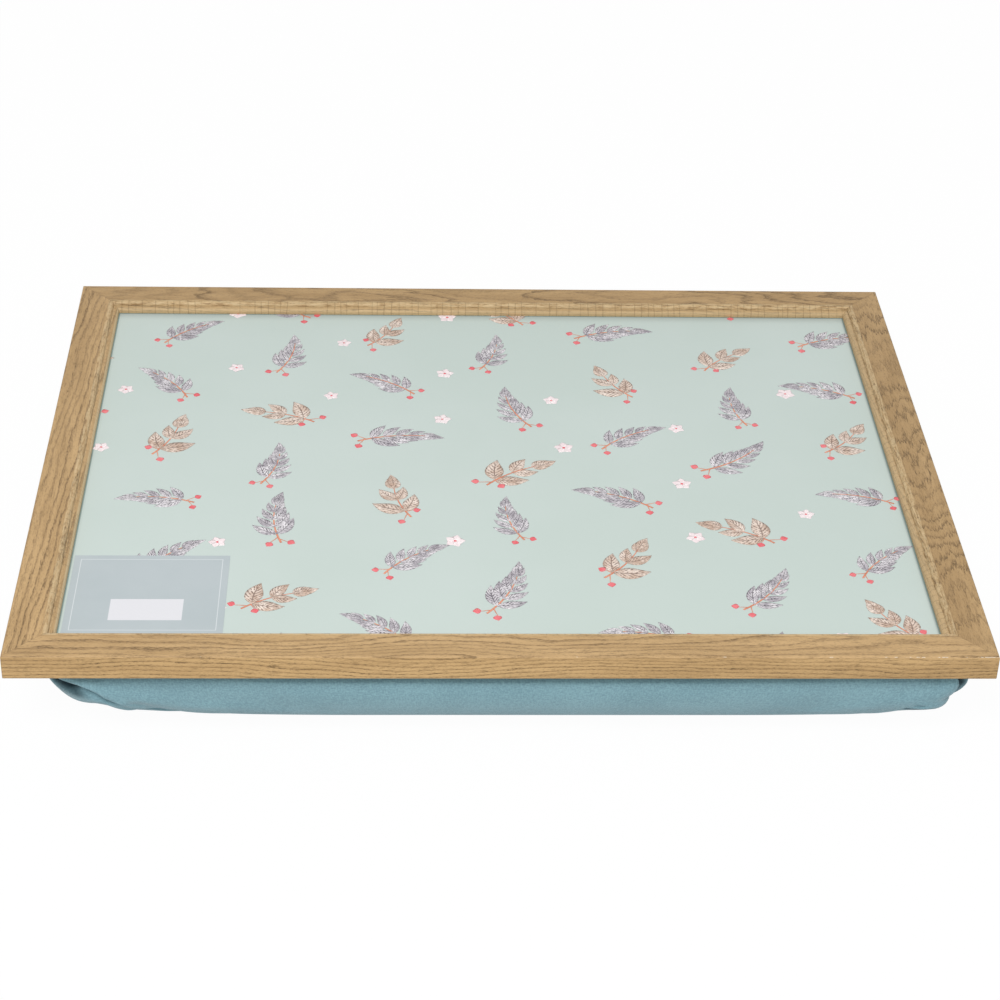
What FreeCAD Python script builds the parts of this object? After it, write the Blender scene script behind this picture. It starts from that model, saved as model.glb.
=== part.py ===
import FreeCAD, Part
import math
import os
from types import SimpleNamespace

import Sketcher
from FreeCAD import Placement, Rotation, Vector

# A lap tray. A mitred frame of wood-effect plastic moulding holds a printed
# board, and a cloth cushion filled with beads is stapled under the frame.
# The origin lies on the floor below the middle of the tray. +X runs along the
# long side, and the person who uses the tray sits on the -Y side.

# Driving dimensions, in millimetres.
SIZES = {
    # Tray outline, over the frame
    "tray_width": 440.0,
    "tray_depth": 340.0,
    # Frame moulding, from its outer face inwards and from its underside up
    "rail_height": 12.5,
    "flat_width": 16.5,
    "shoulder_radius": 2.0,
    "quirk_width": 0.4,
    "bead_radius": 2.4,
    "sight_edge": 0.9,
    "rebate_width": 6.5,
    "arris_radius": 0.7,
    "heel_radius": 1.0,
    "cut_overrun": 2.0,
    # Board and the printed sheet bonded to it
    "board_thickness": 3.0,
    "sheet_thickness": 0.4,
    "board_clearance": 0.5,
    # Paper label on the printed sheet
    "label_width": 72.0,
    "label_depth": 62.0,
    "label_thickness": 0.15,
    "label_side_margin": 1.7,
    "label_front_margin": 2.0,
    # V nails across the mitres
    "nail_leg": 5.0,
    "nail_strip": 0.5,
    "nail_height": 7.0,
    "outer_nail_inset": 3.5,
    "inner_nail_inset": 8.5,
    # Flat steel points that hold the board up in the rebate
    "point_width": 6.0,
    "point_thickness": 0.4,
    "point_bite": 4.5,
    "point_reach": 6.0,
    # Staples through the cushion's hem
    "staple_crown": 10.0,
    "staple_wire": 0.8,
    "staple_leg": 6.0,
    "staple_inset": 11.5,
    "staple_margin": 38.0,
    # What a driven fastener leaves free round itself
    "driven_clearance": 0.05,
    # Cushion: cloth, hem and the inset of each level from the tray outline
    "cushion_height": 47.5,
    "cloth_thickness": 0.8,
    "lining_thickness": 0.4,
    "hem_inset": 8.0,
    "hem_radius": 10.0,
    "rim_inset": 15.0,
    "belly_inset": 12.0,
    "foot_inset": 43.0,
    # Corner radius of those levels, and how far their sides swell outwards
    "rim_radius": 14.0,
    "belly_radius": 26.0,
    "foot_radius": 62.0,
    "rim_bow": 0.5,
    "belly_bow": 2.0,
    "foot_bow": 2.5,
    # The crown, where the cushion rises between the rails to the board
    "crown_margin": 1.5,
    "crown_run": 14.0,
    "crown_clearance": 0.3,
    "bead_clearance": 0.3,
}

# How many staples the long and the short rails hold. A steel point sits between
# two staples, in every second gap of the row.
LONG_STAPLE_COUNT = 10
SHORT_STAPLE_COUNT = 8

# The cushion's side: the belly's height as a share of the cushion's, the number
# of levels above and below it, and the powers that set how full it hangs.
BELLY_LEVEL_SHARE = 0.68
UPPER_LEVEL_COUNT = 2
LOWER_LEVEL_COUNT = 7
INSET_POWER = 1.4
LEVEL_POWER = 1.12


class Size:
    """A length together with the formula that gives it from the sheet."""

    def __init__(self, number, formula):
        self.number = number
        self.formula = formula

    def __add__(self, other):
        return Size(self.number + other.number, f"({self.formula} + {other.formula})")

    def __sub__(self, other):
        return Size(self.number - other.number, f"({self.formula} - {other.formula})")

    def __mul__(self, share):
        return Size(self.number * share, f"({self.formula} * {share})")

    def __truediv__(self, parts):
        return Size(self.number / parts, f"({self.formula} / {parts})")


def bow_radius(chord, bow):
    """Radius of the arc that stands `bow` high over a chord."""
    number = (chord.number ** 2 / 4 + bow.number ** 2) / (2 * bow.number)
    formula = f"({chord.formula} ^ 2 / 4 + {bow.formula} ^ 2) / (2 * {bow.formula})"
    return Size(number, formula)


doc = FreeCAD.newDocument("lap_tray")

sheet = doc.addObject("Spreadsheet::Sheet", "sizes")
for row, (alias, value) in enumerate(SIZES.items(), start=1):
    sheet.set(f"A{row}", alias)
    sheet.set(f"B{row}", str(value))
    sheet.setAlias(f"B{row}", alias)
doc.recompute()

size = SimpleNamespace(**{alias: Size(value, f"sizes.{alias}") for alias, value in SIZES.items()})
nil = Size(0.0, "0")

# Sizes that follow from the driving ones.
half_width = size.tray_width / 2
half_depth = size.tray_depth / 2
sight_width = size.flat_width + size.shoulder_radius + size.quirk_width + size.bead_radius
panel_drop = size.shoulder_radius + size.bead_radius + size.sight_edge
rebate_inset = sight_width - size.rebate_width
rebate_ceiling = size.rail_height - panel_drop
panel_level = size.cushion_height + rebate_ceiling
board_level = panel_level - size.sheet_thickness - size.board_thickness
board_inset = rebate_inset + size.board_clearance
lining_level = size.cushion_height - size.lining_thickness


def place(item, x=nil, y=nil, z=nil, turn=0):
    """Put an object at (x, y, z), turned about the vertical, bound to the sheet."""
    item.Placement = Placement(Vector(x.number, y.number, z.number), Rotation(Vector(0, 0, 1), turn))
    for axis, where in (("x", x), ("y", y), ("z", z)):
        item.setExpression(f"Placement.Base.{axis}", where.formula)


def new_body(name):
    body = doc.addObject("PartDesign::Body", name)
    body.AllowCompound = True
    return body


def origin_feature(body, role):
    return next(feature for feature in body.Origin.OriginFeatures if feature.Role == role)


def new_sketch(body, name, role="XY_Plane", level=nil):
    """A sketch on one of the body's own planes, lifted off it by `level`."""
    sketch = body.newObject("Sketcher::SketchObject", name)
    sketch.AttachmentSupport = [(origin_feature(body, role), "")]
    sketch.MapMode = "FlatFace"
    sketch.AttachmentOffset = Placement(Vector(0, 0, level.number), Rotation())
    sketch.setExpression("AttachmentOffset.Base.z", level.formula)
    return sketch


def left_arc(start, end, radius):
    """Arc of under a half circle from start to end that turns to the left."""
    chord = end - start
    rise = math.sqrt(radius ** 2 - chord.Length ** 2 / 4)
    centre = (start + end) / 2 + Vector(-chord.y, chord.x, 0) * (rise / chord.Length)
    angles = [math.atan2(point.y - centre.y, point.x - centre.x) for point in (start, end)]
    return Part.ArcOfCircle(Part.Circle(centre, Vector(0, 0, 1), radius), *angles)


def draw_outline(sketch, corners):
    """Draw a closed outline whose corners are (x, y) or (x, y, radius).

    The edge that leaves a corner is straight, or an arc of the given radius
    that turns to the left. Each place and radius is bound to the sheet.
    """
    first = sketch.GeometryCount
    spots = [Vector(corner[0].number, corner[1].number, 0) for corner in corners]
    edges = []
    joins = []
    bound = []
    for index, corner in enumerate(corners):
        after = (index + 1) % len(corners)
        edge = first + index
        if len(corner) == 3:
            radius = corner[2]
            edges.append(left_arc(spots[index], spots[after], radius.number))
            bound.append((Sketcher.Constraint("Radius", edge, radius.number), radius))
        else:
            edges.append(Part.LineSegment(spots[index], spots[after]))
        joins.append(Sketcher.Constraint("Coincident", edge, 2, first + after, 1))
        for kind, place_on_axis in (("DistanceX", corner[0]), ("DistanceY", corner[1])):
            constraint = Sketcher.Constraint(kind, -1, 1, edge, 1, place_on_axis.number)
            bound.append((constraint, place_on_axis))
    sketch.addGeometry(edges)
    sketch.addConstraint(joins)
    numbers = sketch.addConstraint([constraint for constraint, _ in bound])
    for number, (_, length) in zip(numbers, bound):
        sketch.setExpression(f"Constraints[{number}]", length.formula)


def draw_rectangle(sketch, left, front, right, back):
    draw_outline(sketch, [(left, front), (right, front), (right, back), (left, back)])


def draw_cushion_level(sketch, inset, radius, bow):
    """Rounded rectangle, `inset` from the tray outline, whose sides swell by `bow`."""
    x = half_width - inset
    y = half_depth - inset
    x_flat = x - radius
    y_flat = y - radius
    long_bow = bow_radius(x_flat * 2, bow)
    short_bow = bow_radius(y_flat * 2, bow)
    draw_outline(sketch, [
        (nil - x_flat, nil - y, long_bow), (x_flat, nil - y, radius),
        (x, nil - y_flat, short_bow), (x, y_flat, radius),
        (x_flat, y, long_bow), (nil - x_flat, y, radius),
        (nil - x, y_flat, short_bow), (nil - x, nil - y_flat, radius),
    ])


def pad(body, sketch, length, reverse=False):
    feature = body.newObject("PartDesign::Pad", f"{sketch.Name}_pad")
    feature.Profile = sketch
    feature.setExpression("Length", length.formula)
    feature.Reversed = reverse
    return feature


def loft(body, kind, sketches):
    feature = body.newObject(f"PartDesign::{kind}", f"{sketches[0].Name}_loft")
    feature.Profile = sketches[0]
    feature.Sections = sketches[1:]
    feature.Ruled = True
    return feature


def row_of(body, originals, role, extent, count):
    """Repeat features along one of the body's axes, over the given extent."""
    pattern = body.newObject("PartDesign::LinearPattern", f"{body.Name}_row")
    pattern.Originals = originals
    pattern.Direction = (origin_feature(body, role), [""])
    pattern.setExpression("Length", extent.formula)
    pattern.Occurrences = count
    body.Tip = pattern


def together(name, members):
    group = doc.addObject("Part::Compound", name)
    group.Links = members
    return group


def cut(name, base, tool):
    result = doc.addObject("Part::Cut", name)
    result.Base = base
    result.Tool = tool
    return result


# Each rail of the frame: its length, where its outer lower edge lies, how it
# is turned, and how many staples it takes. In its own frame a rail runs along
# X with its outer face on Y = 0, its underside on Z = 0 and +Y pointing inwards.
RAILS = {
    "front": (size.tray_width, nil, nil - half_depth, 0, LONG_STAPLE_COUNT),
    "right": (size.tray_depth, half_width, nil, 90, SHORT_STAPLE_COUNT),
    "back": (size.tray_width, nil, half_depth, 180, LONG_STAPLE_COUNT),
    "left": (size.tray_depth, nil - half_width, nil, 270, SHORT_STAPLE_COUNT),
}


def build_moulding(side):
    """One length of moulding: stepped sight edge, rebate for the board, two mitres."""
    length, x, y, turn, _ = RAILS[side]
    body = new_body(f"{side}_moulding")
    profile = new_sketch(body, f"{side}_profile", "YZ_Plane")
    top = size.rail_height
    step = top - size.shoulder_radius
    draw_outline(profile, [
        (size.heel_radius, nil),
        (rebate_inset, nil),
        (rebate_inset, rebate_ceiling),
        (sight_width, rebate_ceiling),
        (sight_width, rebate_ceiling + size.sight_edge, size.bead_radius),
        (sight_width - size.bead_radius, step),
        (size.flat_width + size.shoulder_radius, step, size.shoulder_radius),
        (size.flat_width, top),
        (size.arris_radius, top, size.arris_radius),
        (nil, top - size.arris_radius),
        (nil, size.heel_radius, size.heel_radius),
    ])
    blank = pad(body, profile, length)
    blank.SideType = "Symmetric"

    mitres = new_sketch(body, f"{side}_mitres")
    out = size.cut_overrun
    end = length / 2 + out
    deep = sight_width + out
    draw_outline(mitres, [(end, nil - out), (end, deep), (length / 2 - deep, deep)])
    draw_outline(mitres, [(nil - end, nil - out), (deep - length / 2, deep), (nil - end, deep)])
    mitred = body.newObject("PartDesign::Pocket", f"{side}_mitre_cut")
    mitred.Profile = mitres
    mitred.Type = "ThroughAll"
    mitred.SideType = "Symmetric"
    doc.recompute()
    assert mitred.Shape.Volume < blank.Shape.Volume, "the mitres cut nothing"
    place(body, x, y, size.cushion_height, turn)
    return body


def staple_spacing(side):
    """Extent of a rail's row of staples, and the pitch between two of them."""
    length, _, _, _, staples = RAILS[side]
    extent = length - size.staple_margin * 2
    return extent, extent / (staples - 1)


def build_staples(name, side, clearance):
    """The staples of one rail, grown by a clearance where they are used to cut."""
    _, x, y, turn, staples = RAILS[side]
    extent, _ = staple_spacing(side)
    body = new_body(name)
    middle = nil - extent / 2
    reach = size.staple_crown / 2 + clearance
    foot = size.staple_crown / 2 - size.staple_wire - clearance
    front = size.staple_inset - size.staple_wire / 2 - clearance
    back = size.staple_inset + size.staple_wire / 2 + clearance
    crown_level = nil - size.lining_thickness - size.cloth_thickness - size.staple_wire

    crown = new_sketch(body, f"{name}_crown", level=crown_level - clearance)
    draw_rectangle(crown, middle - reach, front, middle + reach, back)
    crown_pad = pad(body, crown, size.staple_wire + clearance)
    legs = new_sketch(body, f"{name}_legs", level=crown_level)
    draw_rectangle(legs, middle - reach, front, middle - foot, back)
    draw_rectangle(legs, middle + foot, front, middle + reach, back)
    legs_pad = pad(body, legs, size.staple_leg + clearance)
    row_of(body, [crown_pad, legs_pad], "X_Axis", extent, staples)
    place(body, x, y, size.cushion_height, turn)
    return body


def build_points(name, side, clearance):
    """The steel points of one rail: half in the rebate's wall, half under the board."""
    _, x, y, turn, staples = RAILS[side]
    extent, pitch = staple_spacing(side)
    body = new_body(name)
    middle = pitch / 2 - extent / 2
    half = size.point_width / 2 + clearance
    level = board_level - size.cushion_height - size.point_thickness
    tab = new_sketch(body, f"{name}_tab", level=level - clearance)
    draw_rectangle(
        tab, middle - half, rebate_inset - size.point_bite - clearance,
        middle + half, rebate_inset + size.point_reach,
    )
    tab_pad = pad(body, tab, size.point_thickness + clearance * 2)
    row_of(body, [tab_pad], "X_Axis", extent - pitch, staples // 2)
    place(body, x, y, size.cushion_height, turn)
    return body


def build_nails(name, clearance):
    """V nails: bent strips that straddle each mitre, driven in from below."""
    body = new_body(name)
    sketch = new_sketch(body, f"{name}_strips")
    strip = size.nail_strip
    for inset in (size.outer_nail_inset, size.inner_nail_inset):
        near = inset - clearance
        inner = inset + strip + clearance
        far = inset + size.nail_leg + clearance
        outline = [(near, near), (far, near), (far, inner), (inner, inner), (inner, far), (near, far)]
        for toward_x, toward_y in ((1, 1), (-1, 1), (-1, -1), (1, -1)):
            corners = [
                (half_width * -toward_x + u * toward_x, half_depth * -toward_y + v * toward_y)
                for u, v in outline
            ]
            draw_outline(sketch, corners)
    pad(body, sketch, size.nail_height + clearance)
    place(body, z=size.cushion_height)
    return body


def build_slab(name, left, front, right, back, level, thickness):
    """A flat rectangular piece with its underside at a level."""
    body = new_body(name)
    outline = new_sketch(body, f"{name}_outline")
    draw_rectangle(outline, left, front, right, back)
    pad(body, outline, thickness)
    place(body, z=level)
    return body


def between(first, last, share):
    return first + (last - first) * share


def cushion_levels(offset):
    """Level, inset, corner radius and bow of each section, moved inwards by an offset.

    From rim to belly the side is a quarter ellipse. From belly to foot, the inset
    grows with 1 - cos(angle) ** INSET_POWER and the level falls with
    1 - sin(angle) ** LEVEL_POWER. The offset follows the side's normal.
    """
    belly_level = size.cushion_height * BELLY_LEVEL_SHARE
    for step in range(UPPER_LEVEL_COUNT, 0, -1):
        angle = math.pi / 2 * step / UPPER_LEVEL_COUNT
        share = 1 - math.cos(angle)
        yield (
            between(belly_level, lining_level, math.sin(angle)),
            between(size.belly_inset, size.rim_inset, share) + offset,
            between(size.belly_radius, size.rim_radius, share) - offset,
            between(size.belly_bow, size.rim_bow, share),
        )
    reach = size.foot_inset.number - size.belly_inset.number
    for step in range(LOWER_LEVEL_COUNT):
        share = step / (LOWER_LEVEL_COUNT - 1)
        sine, cosine = math.sin(math.pi / 2 * share), math.cos(math.pi / 2 * share)
        outward = belly_level.number * LEVEL_POWER * sine ** (LEVEL_POWER - 1) * cosine
        downward = reach * INSET_POWER * cosine ** (INSET_POWER - 1) * sine
        if step == 0:
            outward, downward = 1, 0
        if share == 1:
            outward, downward = 0, 1
        slant = math.hypot(outward, downward)
        sideways = offset * (outward / slant)
        yield (
            belly_level * (1 - sine ** LEVEL_POWER) + offset * (downward / slant),
            between(size.belly_inset, size.foot_inset, 1 - cosine ** INSET_POWER) + sideways,
            between(size.belly_radius, size.foot_radius, share) - sideways,
            between(size.belly_bow, size.foot_bow, share),
        )


def cushion_loft(body, kind, name, offset, top=None):
    """Loft the cushion's form from its rim down to the flat where it rests."""
    sections = []
    for number, (level, inset, radius, bow) in enumerate(cushion_levels(offset)):
        if number == 0 and top is not None:
            level = top
        section = new_sketch(body, f"{name}_{number}", level=level)
        draw_cushion_level(section, inset, radius, bow)
        sections.append(section)
    return loft(body, kind, sections)


def crown_loft(body, kind, name, drop):
    """Loft the shallow crown that rises between the rails, lowered by `drop`."""
    base_inset = rebate_inset + size.crown_margin
    top_level = board_level - size.crown_clearance
    sections = []
    for part, inset, level in (
        ("base", base_inset, size.cushion_height),
        ("top", base_inset + size.crown_run, top_level),
    ):
        section = new_sketch(body, f"{name}_{part}", level=level - drop)
        draw_cushion_level(section, inset, size.rim_radius, size.rim_bow)
        sections.append(section)
    return loft(body, kind, sections)


def hem_plate(body, name, top, thickness):
    """The flat hem round the cushion, which the staples hold against the rails."""
    outline = new_sketch(body, name, level=top)
    draw_cushion_level(outline, size.hem_inset, size.hem_radius, size.rim_bow)
    return pad(body, outline, thickness, reverse=True)


def build_cover():
    """Outer cloth of the cushion: a hem and a bag with full sides and a flat base."""
    body = new_body("cushion_cover_cloth")
    hem_plate(body, "cover_hem", lining_level, size.cloth_thickness)
    cushion_loft(body, "AdditiveLoft", "cover_outside", nil)
    cushion_loft(body, "SubtractiveLoft", "cover_inside", size.cloth_thickness)
    return body


def build_lining():
    """Cloth that closes the cushion under the board, pushed up by the beads."""
    body = new_body("cushion_lining_cloth")
    hem_plate(body, "lining_hem", size.cushion_height, size.lining_thickness)
    crown_loft(body, "AdditiveLoft", "lining_upper", nil)
    crown_loft(body, "SubtractiveLoft", "lining_lower", size.lining_thickness)
    return body


def build_filling():
    """The loose beads, as one settled body that fills the bag and its crown."""
    body = new_body("bead_filling")
    gap = size.bead_clearance
    cushion_loft(body, "AdditiveLoft", "beads", size.cloth_thickness + gap, top=lining_level - gap)
    crown_loft(body, "AdditiveLoft", "beads_crown", size.lining_thickness + gap)
    return body


mouldings = {side: build_moulding(side) for side in RAILS}
staple_rows = {side: build_staples(f"{side}_staples", side, nil) for side in RAILS}
point_rows = {side: build_points(f"{side}_points", side, nil) for side in RAILS}
mitre_nails = build_nails("mitre_v_nails", nil)

# What the driven fasteners displace, cut out of the pieces that they go through.
free = size.driven_clearance
staple_cuts = {side: build_staples(f"{side}_staple_cuts", side, free) for side in RAILS}
point_cuts = {side: build_points(f"{side}_point_cuts", side, free) for side in RAILS}
nail_cuts = build_nails("nail_cuts", free)
hem_cuts = together("hem_cuts", list(staple_cuts.values()))

subparts = {"mitre_v_nails": mitre_nails}
for side, moulding in mouldings.items():
    cuts = together(f"{side}_cuts", [staple_cuts[side], point_cuts[side], nail_cuts])
    subparts[f"frame_{side}_rail"] = cut(f"frame_{side}_rail", moulding, cuts)
subparts["board_points"] = together("board_points", list(point_rows.values()))
subparts["cushion_staples"] = together("cushion_staples", list(staple_rows.values()))

board_x = half_width - board_inset
board_y = half_depth - board_inset
subparts["tray_board"] = build_slab(
    "tray_board", nil - board_x, nil - board_y, board_x, board_y, board_level, size.board_thickness)
subparts["printed_sheet"] = build_slab(
    "printed_sheet", nil - board_x, nil - board_y, board_x, board_y,
    panel_level - size.sheet_thickness, size.sheet_thickness)
label_left = sight_width - half_width + size.label_side_margin
label_front = sight_width - half_depth + size.label_front_margin
subparts["paper_label"] = build_slab(
    "paper_label", label_left, label_front, label_left + size.label_width,
    label_front + size.label_depth, panel_level, size.label_thickness)

subparts["cushion_cover"] = cut("cushion_cover", build_cover(), hem_cuts)
subparts["cushion_lining"] = cut("cushion_lining", build_lining(), hem_cuts)
subparts["bead_filling"] = build_filling()

for name, subpart in subparts.items():
    subpart.Label = name
doc.recompute()

for item in doc.Objects:
    if {"Invalid", "Error"} & set(item.State):
        raise RuntimeError(f"{item.Label} failed: {item.State}")
for name, subpart in subparts.items():
    if subpart.Shape.isNull() or not subpart.Shape.isValid():
        raise RuntimeError(f"{name} has no valid shape")

os.makedirs("parts", exist_ok=True)
for name, subpart in subparts.items():
    subpart.Shape.exportStep(f"parts/{name}.step")
    print(f"{name}: {len(subpart.Shape.Solids)} solids, {subpart.Shape.Volume / 1000:.2f} cm3")
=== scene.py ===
# %% [markdown]
# # A lap tray on a bead cushion
# A mitred frame of oak-effect moulding holds a printed board, and a cloth bag of
# beads is stapled under it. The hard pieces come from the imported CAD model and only
# get finishes here. The bag, its hem and the print are surfaces made with numpy.

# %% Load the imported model
from functools import partialmethod

import bmesh
import bpy
import numpy as np
from mathutils import Matrix, Vector


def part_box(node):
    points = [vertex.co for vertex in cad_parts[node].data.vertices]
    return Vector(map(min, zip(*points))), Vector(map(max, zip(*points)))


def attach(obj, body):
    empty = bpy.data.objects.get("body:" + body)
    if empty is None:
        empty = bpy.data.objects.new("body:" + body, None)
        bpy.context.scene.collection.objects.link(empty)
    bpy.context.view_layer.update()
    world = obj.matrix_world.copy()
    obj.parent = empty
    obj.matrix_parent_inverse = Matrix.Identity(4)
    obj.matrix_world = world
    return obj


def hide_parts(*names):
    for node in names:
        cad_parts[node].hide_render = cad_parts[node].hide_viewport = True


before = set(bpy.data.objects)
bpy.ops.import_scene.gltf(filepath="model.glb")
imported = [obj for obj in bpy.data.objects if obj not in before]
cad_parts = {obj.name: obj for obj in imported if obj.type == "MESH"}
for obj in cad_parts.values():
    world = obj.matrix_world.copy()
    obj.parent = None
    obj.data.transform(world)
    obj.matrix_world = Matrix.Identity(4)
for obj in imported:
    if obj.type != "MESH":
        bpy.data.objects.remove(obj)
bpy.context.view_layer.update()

# %% [markdown]
# The levels and widths that every later piece starts from are read off the model, so
# that a change of size there moves everything here. Small lengths are written in
# millimetres, as a maker would say them.

# %% Measures from the model
MM = 0.001
rail_low, rail_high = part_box("frame_front_rail")
half_width, half_depth = rail_high.x, -rail_low.y
frame_under, frame_top = rail_low.z, rail_high.z
moulding_width = rail_high.y - rail_low.y
panel_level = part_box("printed_sheet")[1].z
hem_low, hem_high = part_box("cushion_cover")
hem_inset = half_width - hem_high.x
print(f"frame {2 * half_width:.3f} by {2 * half_depth:.3f} m, moulding {moulding_width / MM:.1f} mm wide")
print(f"panel {(frame_top - panel_level) / MM:.1f} mm below the top, hem {hem_inset / MM:.1f} mm in")

# %% [markdown]
# The camera stands where the photograph was taken: a long lens, a metre off, looking
# down at about 33 degrees, slightly turned and slightly rolled. A viewing direction
# is three turns in a row, so the camera's matrix is a product of three rotations.

# %% Camera
SENSOR = 36.0
FOCAL_PER_WIDTH = 2.45603
PITCH, YAW, ROLL = 0.5789156, 0.0527917, 0.0325385
CAMERA_PLACE = Vector((-49.91 * MM, -1034.21 * MM, frame_top + 648.00 * MM))

level_view = Matrix(((1, 0, 0), (0, 0, -1), (0, 1, 0)))
world_to_view = (
    Matrix.Rotation(ROLL, 3, "Z") @ Matrix.Rotation(PITCH, 3, "X") @ level_view @ Matrix.Rotation(YAW, 3, "Z")
)
camera_turn = world_to_view.transposed() @ Matrix.Diagonal((1, -1, -1))

camera = bpy.data.objects.new("camera", bpy.data.cameras.new("camera"))
camera.data.sensor_width = SENSOR
camera.data.lens = FOCAL_PER_WIDTH * SENSOR
camera.data.clip_start = 0.01
camera.matrix_world = Matrix.Translation(CAMERA_PLACE) @ camera_turn.to_4x4()
bpy.context.collection.objects.link(camera)
bpy.context.scene.camera = camera
bpy.context.scene.view_settings.view_transform = "Standard"
print(f"camera lens {camera.data.lens:.1f} mm")

# %% [markdown]
# Node trees are long to write out one call at a time. This small class adds a node,
# fills its inputs with numbers or with other nodes' outputs, and returns it, so that
# a finish reads like a formula.

# %% Helpers for node trees
class Tree:
    """Short ways to add and join the nodes of one tree. A value is a number or a socket."""

    def __init__(self, tree):
        self.tree = tree

    def fill(self, sockets, values):
        """Join each named or numbered socket to another socket, or set it to a number."""
        for name, value in values.items():
            if isinstance(value, bpy.types.NodeSocket):
                self.tree.links.new(value, sockets[name])
            else:
                sockets[name].default_value = value

    def add(self, kind, values=None, **settings):
        """One node, with its settings and its inputs filled."""
        node = self.tree.nodes.new("ShaderNode" + kind)
        for name, value in settings.items():
            setattr(node, name, value)
        self.fill(node.inputs, values or {})
        return node

    def group(self, group, values):
        """The outputs of a node group that is placed in this tree."""
        return self.add("Group", values, node_tree=group).outputs

    def place(self, kind="Object"):
        """Where a point is on the piece: in Object coordinates, or on the piece's own UV map."""
        return self.add("TexCoord").outputs[kind]

    def axes(self, vector):
        """A vector's parts X, Y and Z."""
        return self.add("SeparateXYZ", {0: vector}).outputs

    def maths(self, operation, *values):
        """A Math node's result."""
        return self.add("Math", dict(enumerate(values)), operation=operation).outputs[0]

    def vectors(self, operation, *values):
        """A Vector Math node's result."""
        return self.add("VectorMath", dict(enumerate(values)), operation=operation).outputs[0]

    times = partialmethod(maths, "MULTIPLY")
    plus = partialmethod(maths, "ADD")
    minus = partialmethod(maths, "SUBTRACT")
    scaled = partialmethod(vectors, "MULTIPLY")

    def line(self, start, slope, value):
        """A straight line: the start, and the slope times the value."""
        return self.plus(start, self.times(value, slope))

    def rise(self, value, low, high):
        """0 at low, 1 at high, and a smooth step between them."""
        return self.add("MapRange", {0: value, 1: low, 2: high}, interpolation_type="SMOOTHSTEP").outputs[0]

    def noise(self, vector, scale, detail=2.0, roughness=0.5):
        """Soft noise from about 0.25 to 0.75."""
        values = {"Vector": vector, "Scale": scale, "Detail": detail, "Roughness": roughness}
        return self.add("TexNoise", values).outputs["Fac"]

    def chance(self, value):
        """A random number from 0 to 1 for each whole step of a value."""
        whole = {"W": self.maths("FLOOR", value)}
        return self.add("TexWhiteNoise", whole, noise_dimensions="1D").outputs["Value"]

    def mix(self, part, first, second):
        """A colour between two, by part."""
        return self.add("Mix", {0: part, 6: first, 7: second}, data_type="RGBA").outputs[2]

    def tint(self, base, ink, mask, weight):
        """A colour turned towards an ink by a mask of some weight."""
        return self.mix(self.times(mask, weight), base, ink)

    def bump(self, height, depth, strength):
        """A normal from a height of 0 to 1 that stands for that depth in metres."""
        values = {"Height": height, "Distance": depth, "Strength": strength}
        return self.add("Bump", values).outputs["Normal"]


def colour(red, green, blue):
    """A screen colour of 0 to 255 as the linear colour that a shader wants."""
    part = np.array([red, green, blue]) / 255
    linear = np.where(part <= 0.04045, part / 12.92, ((part + 0.055) / 1.055) ** 2.4)
    return (*linear.tolist(), 1.0)


def new_finish(name):
    """An empty material, its tree and its Principled shader."""
    material = bpy.data.materials.new(name)
    material.use_nodes = True
    return material, Tree(material.node_tree), material.node_tree.nodes["Principled BSDF"]


def new_group(name, numbers, outputs):
    """A node group that takes a vector and named numbers and gives named numbers: the group, its tree, what
    goes in and what comes out."""
    group = bpy.data.node_groups.new(name, "ShaderNodeTree")
    group.interface.new_socket("Vector", in_out="INPUT", socket_type="NodeSocketVector")
    for way, labels in (("INPUT", numbers), ("OUTPUT", outputs)):
        for label in labels:
            group.interface.new_socket(label, in_out=way, socket_type="NodeSocketFloat")
    entry = group.nodes.new("NodeGroupInput")
    leave = group.nodes.new("NodeGroupOutput")
    return group, Tree(group), entry.outputs, leave.inputs


def dress(material, *nodes):
    """Give a finish to CAD nodes, whose meshes stay as they are."""
    for name in nodes:
        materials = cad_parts[name].data.materials
        materials.clear()
        materials.append(material)


# %% [markdown]
# The photograph is a cut-out on white. A white floor under soft light gives that: the
# floor is partly its own white to the camera, so it stays white where it is open and
# still takes a faint shadow under the bag.

# %% Floor, world and lamps
FLOOR_REACH, FLOOR_DROP = 6.0, 0.2 * MM
OWN_WHITE, SKY_LIGHT = 0.97, 0.56
# Each lamp's place, size and power. Both look at the tray's middle.
LAMPS = {
    "key": ((-0.32, -1.28, 1.52), 0.55, 26.5),
    "fill": ((1.2, -1.0, 1.2), 1.2, 1.5),
}
LAMP_AIM = Vector((0, 0, 0.05))

floor_mesh = bpy.data.meshes.new("floor")
floor_corners = np.array([[-1, -1], [1, -1], [1, 1], [-1, 1]]) * FLOOR_REACH
floor_mesh.from_pydata(np.c_[floor_corners, np.full(4, -FLOOR_DROP)].tolist(), [], [[0, 1, 2, 3]])
floor = bpy.data.objects.new("floor", floor_mesh)
bpy.context.collection.objects.link(floor)


def seen_directly(tree):
    """1 for rays from the camera, from mirrors and through glass, else 0."""
    path = tree.add("LightPath").outputs
    mirrored = tree.maths("MAXIMUM", path["Is Glossy Ray"], path["Is Transmission Ray"])
    return tree.maths("MAXIMUM", path["Is Camera Ray"], mirrored)


floor_finish, tree, shader = new_finish("studio_floor")
paint = tree.add("BsdfDiffuse", {"Color": colour(244, 244, 244)})
glow = tree.add("Emission", {"Color": (1, 1, 1, 1), "Strength": 1.0})
share = tree.times(seen_directly(tree), OWN_WHITE)
blend = tree.add("MixShader", {0: share, 1: paint.outputs[0], 2: glow.outputs[0]})
tree.fill(floor_finish.node_tree.nodes["Material Output"].inputs, {"Surface": blend.outputs[0]})
floor_finish.node_tree.nodes.remove(shader)
floor_mesh.materials.append(floor_finish)

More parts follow.
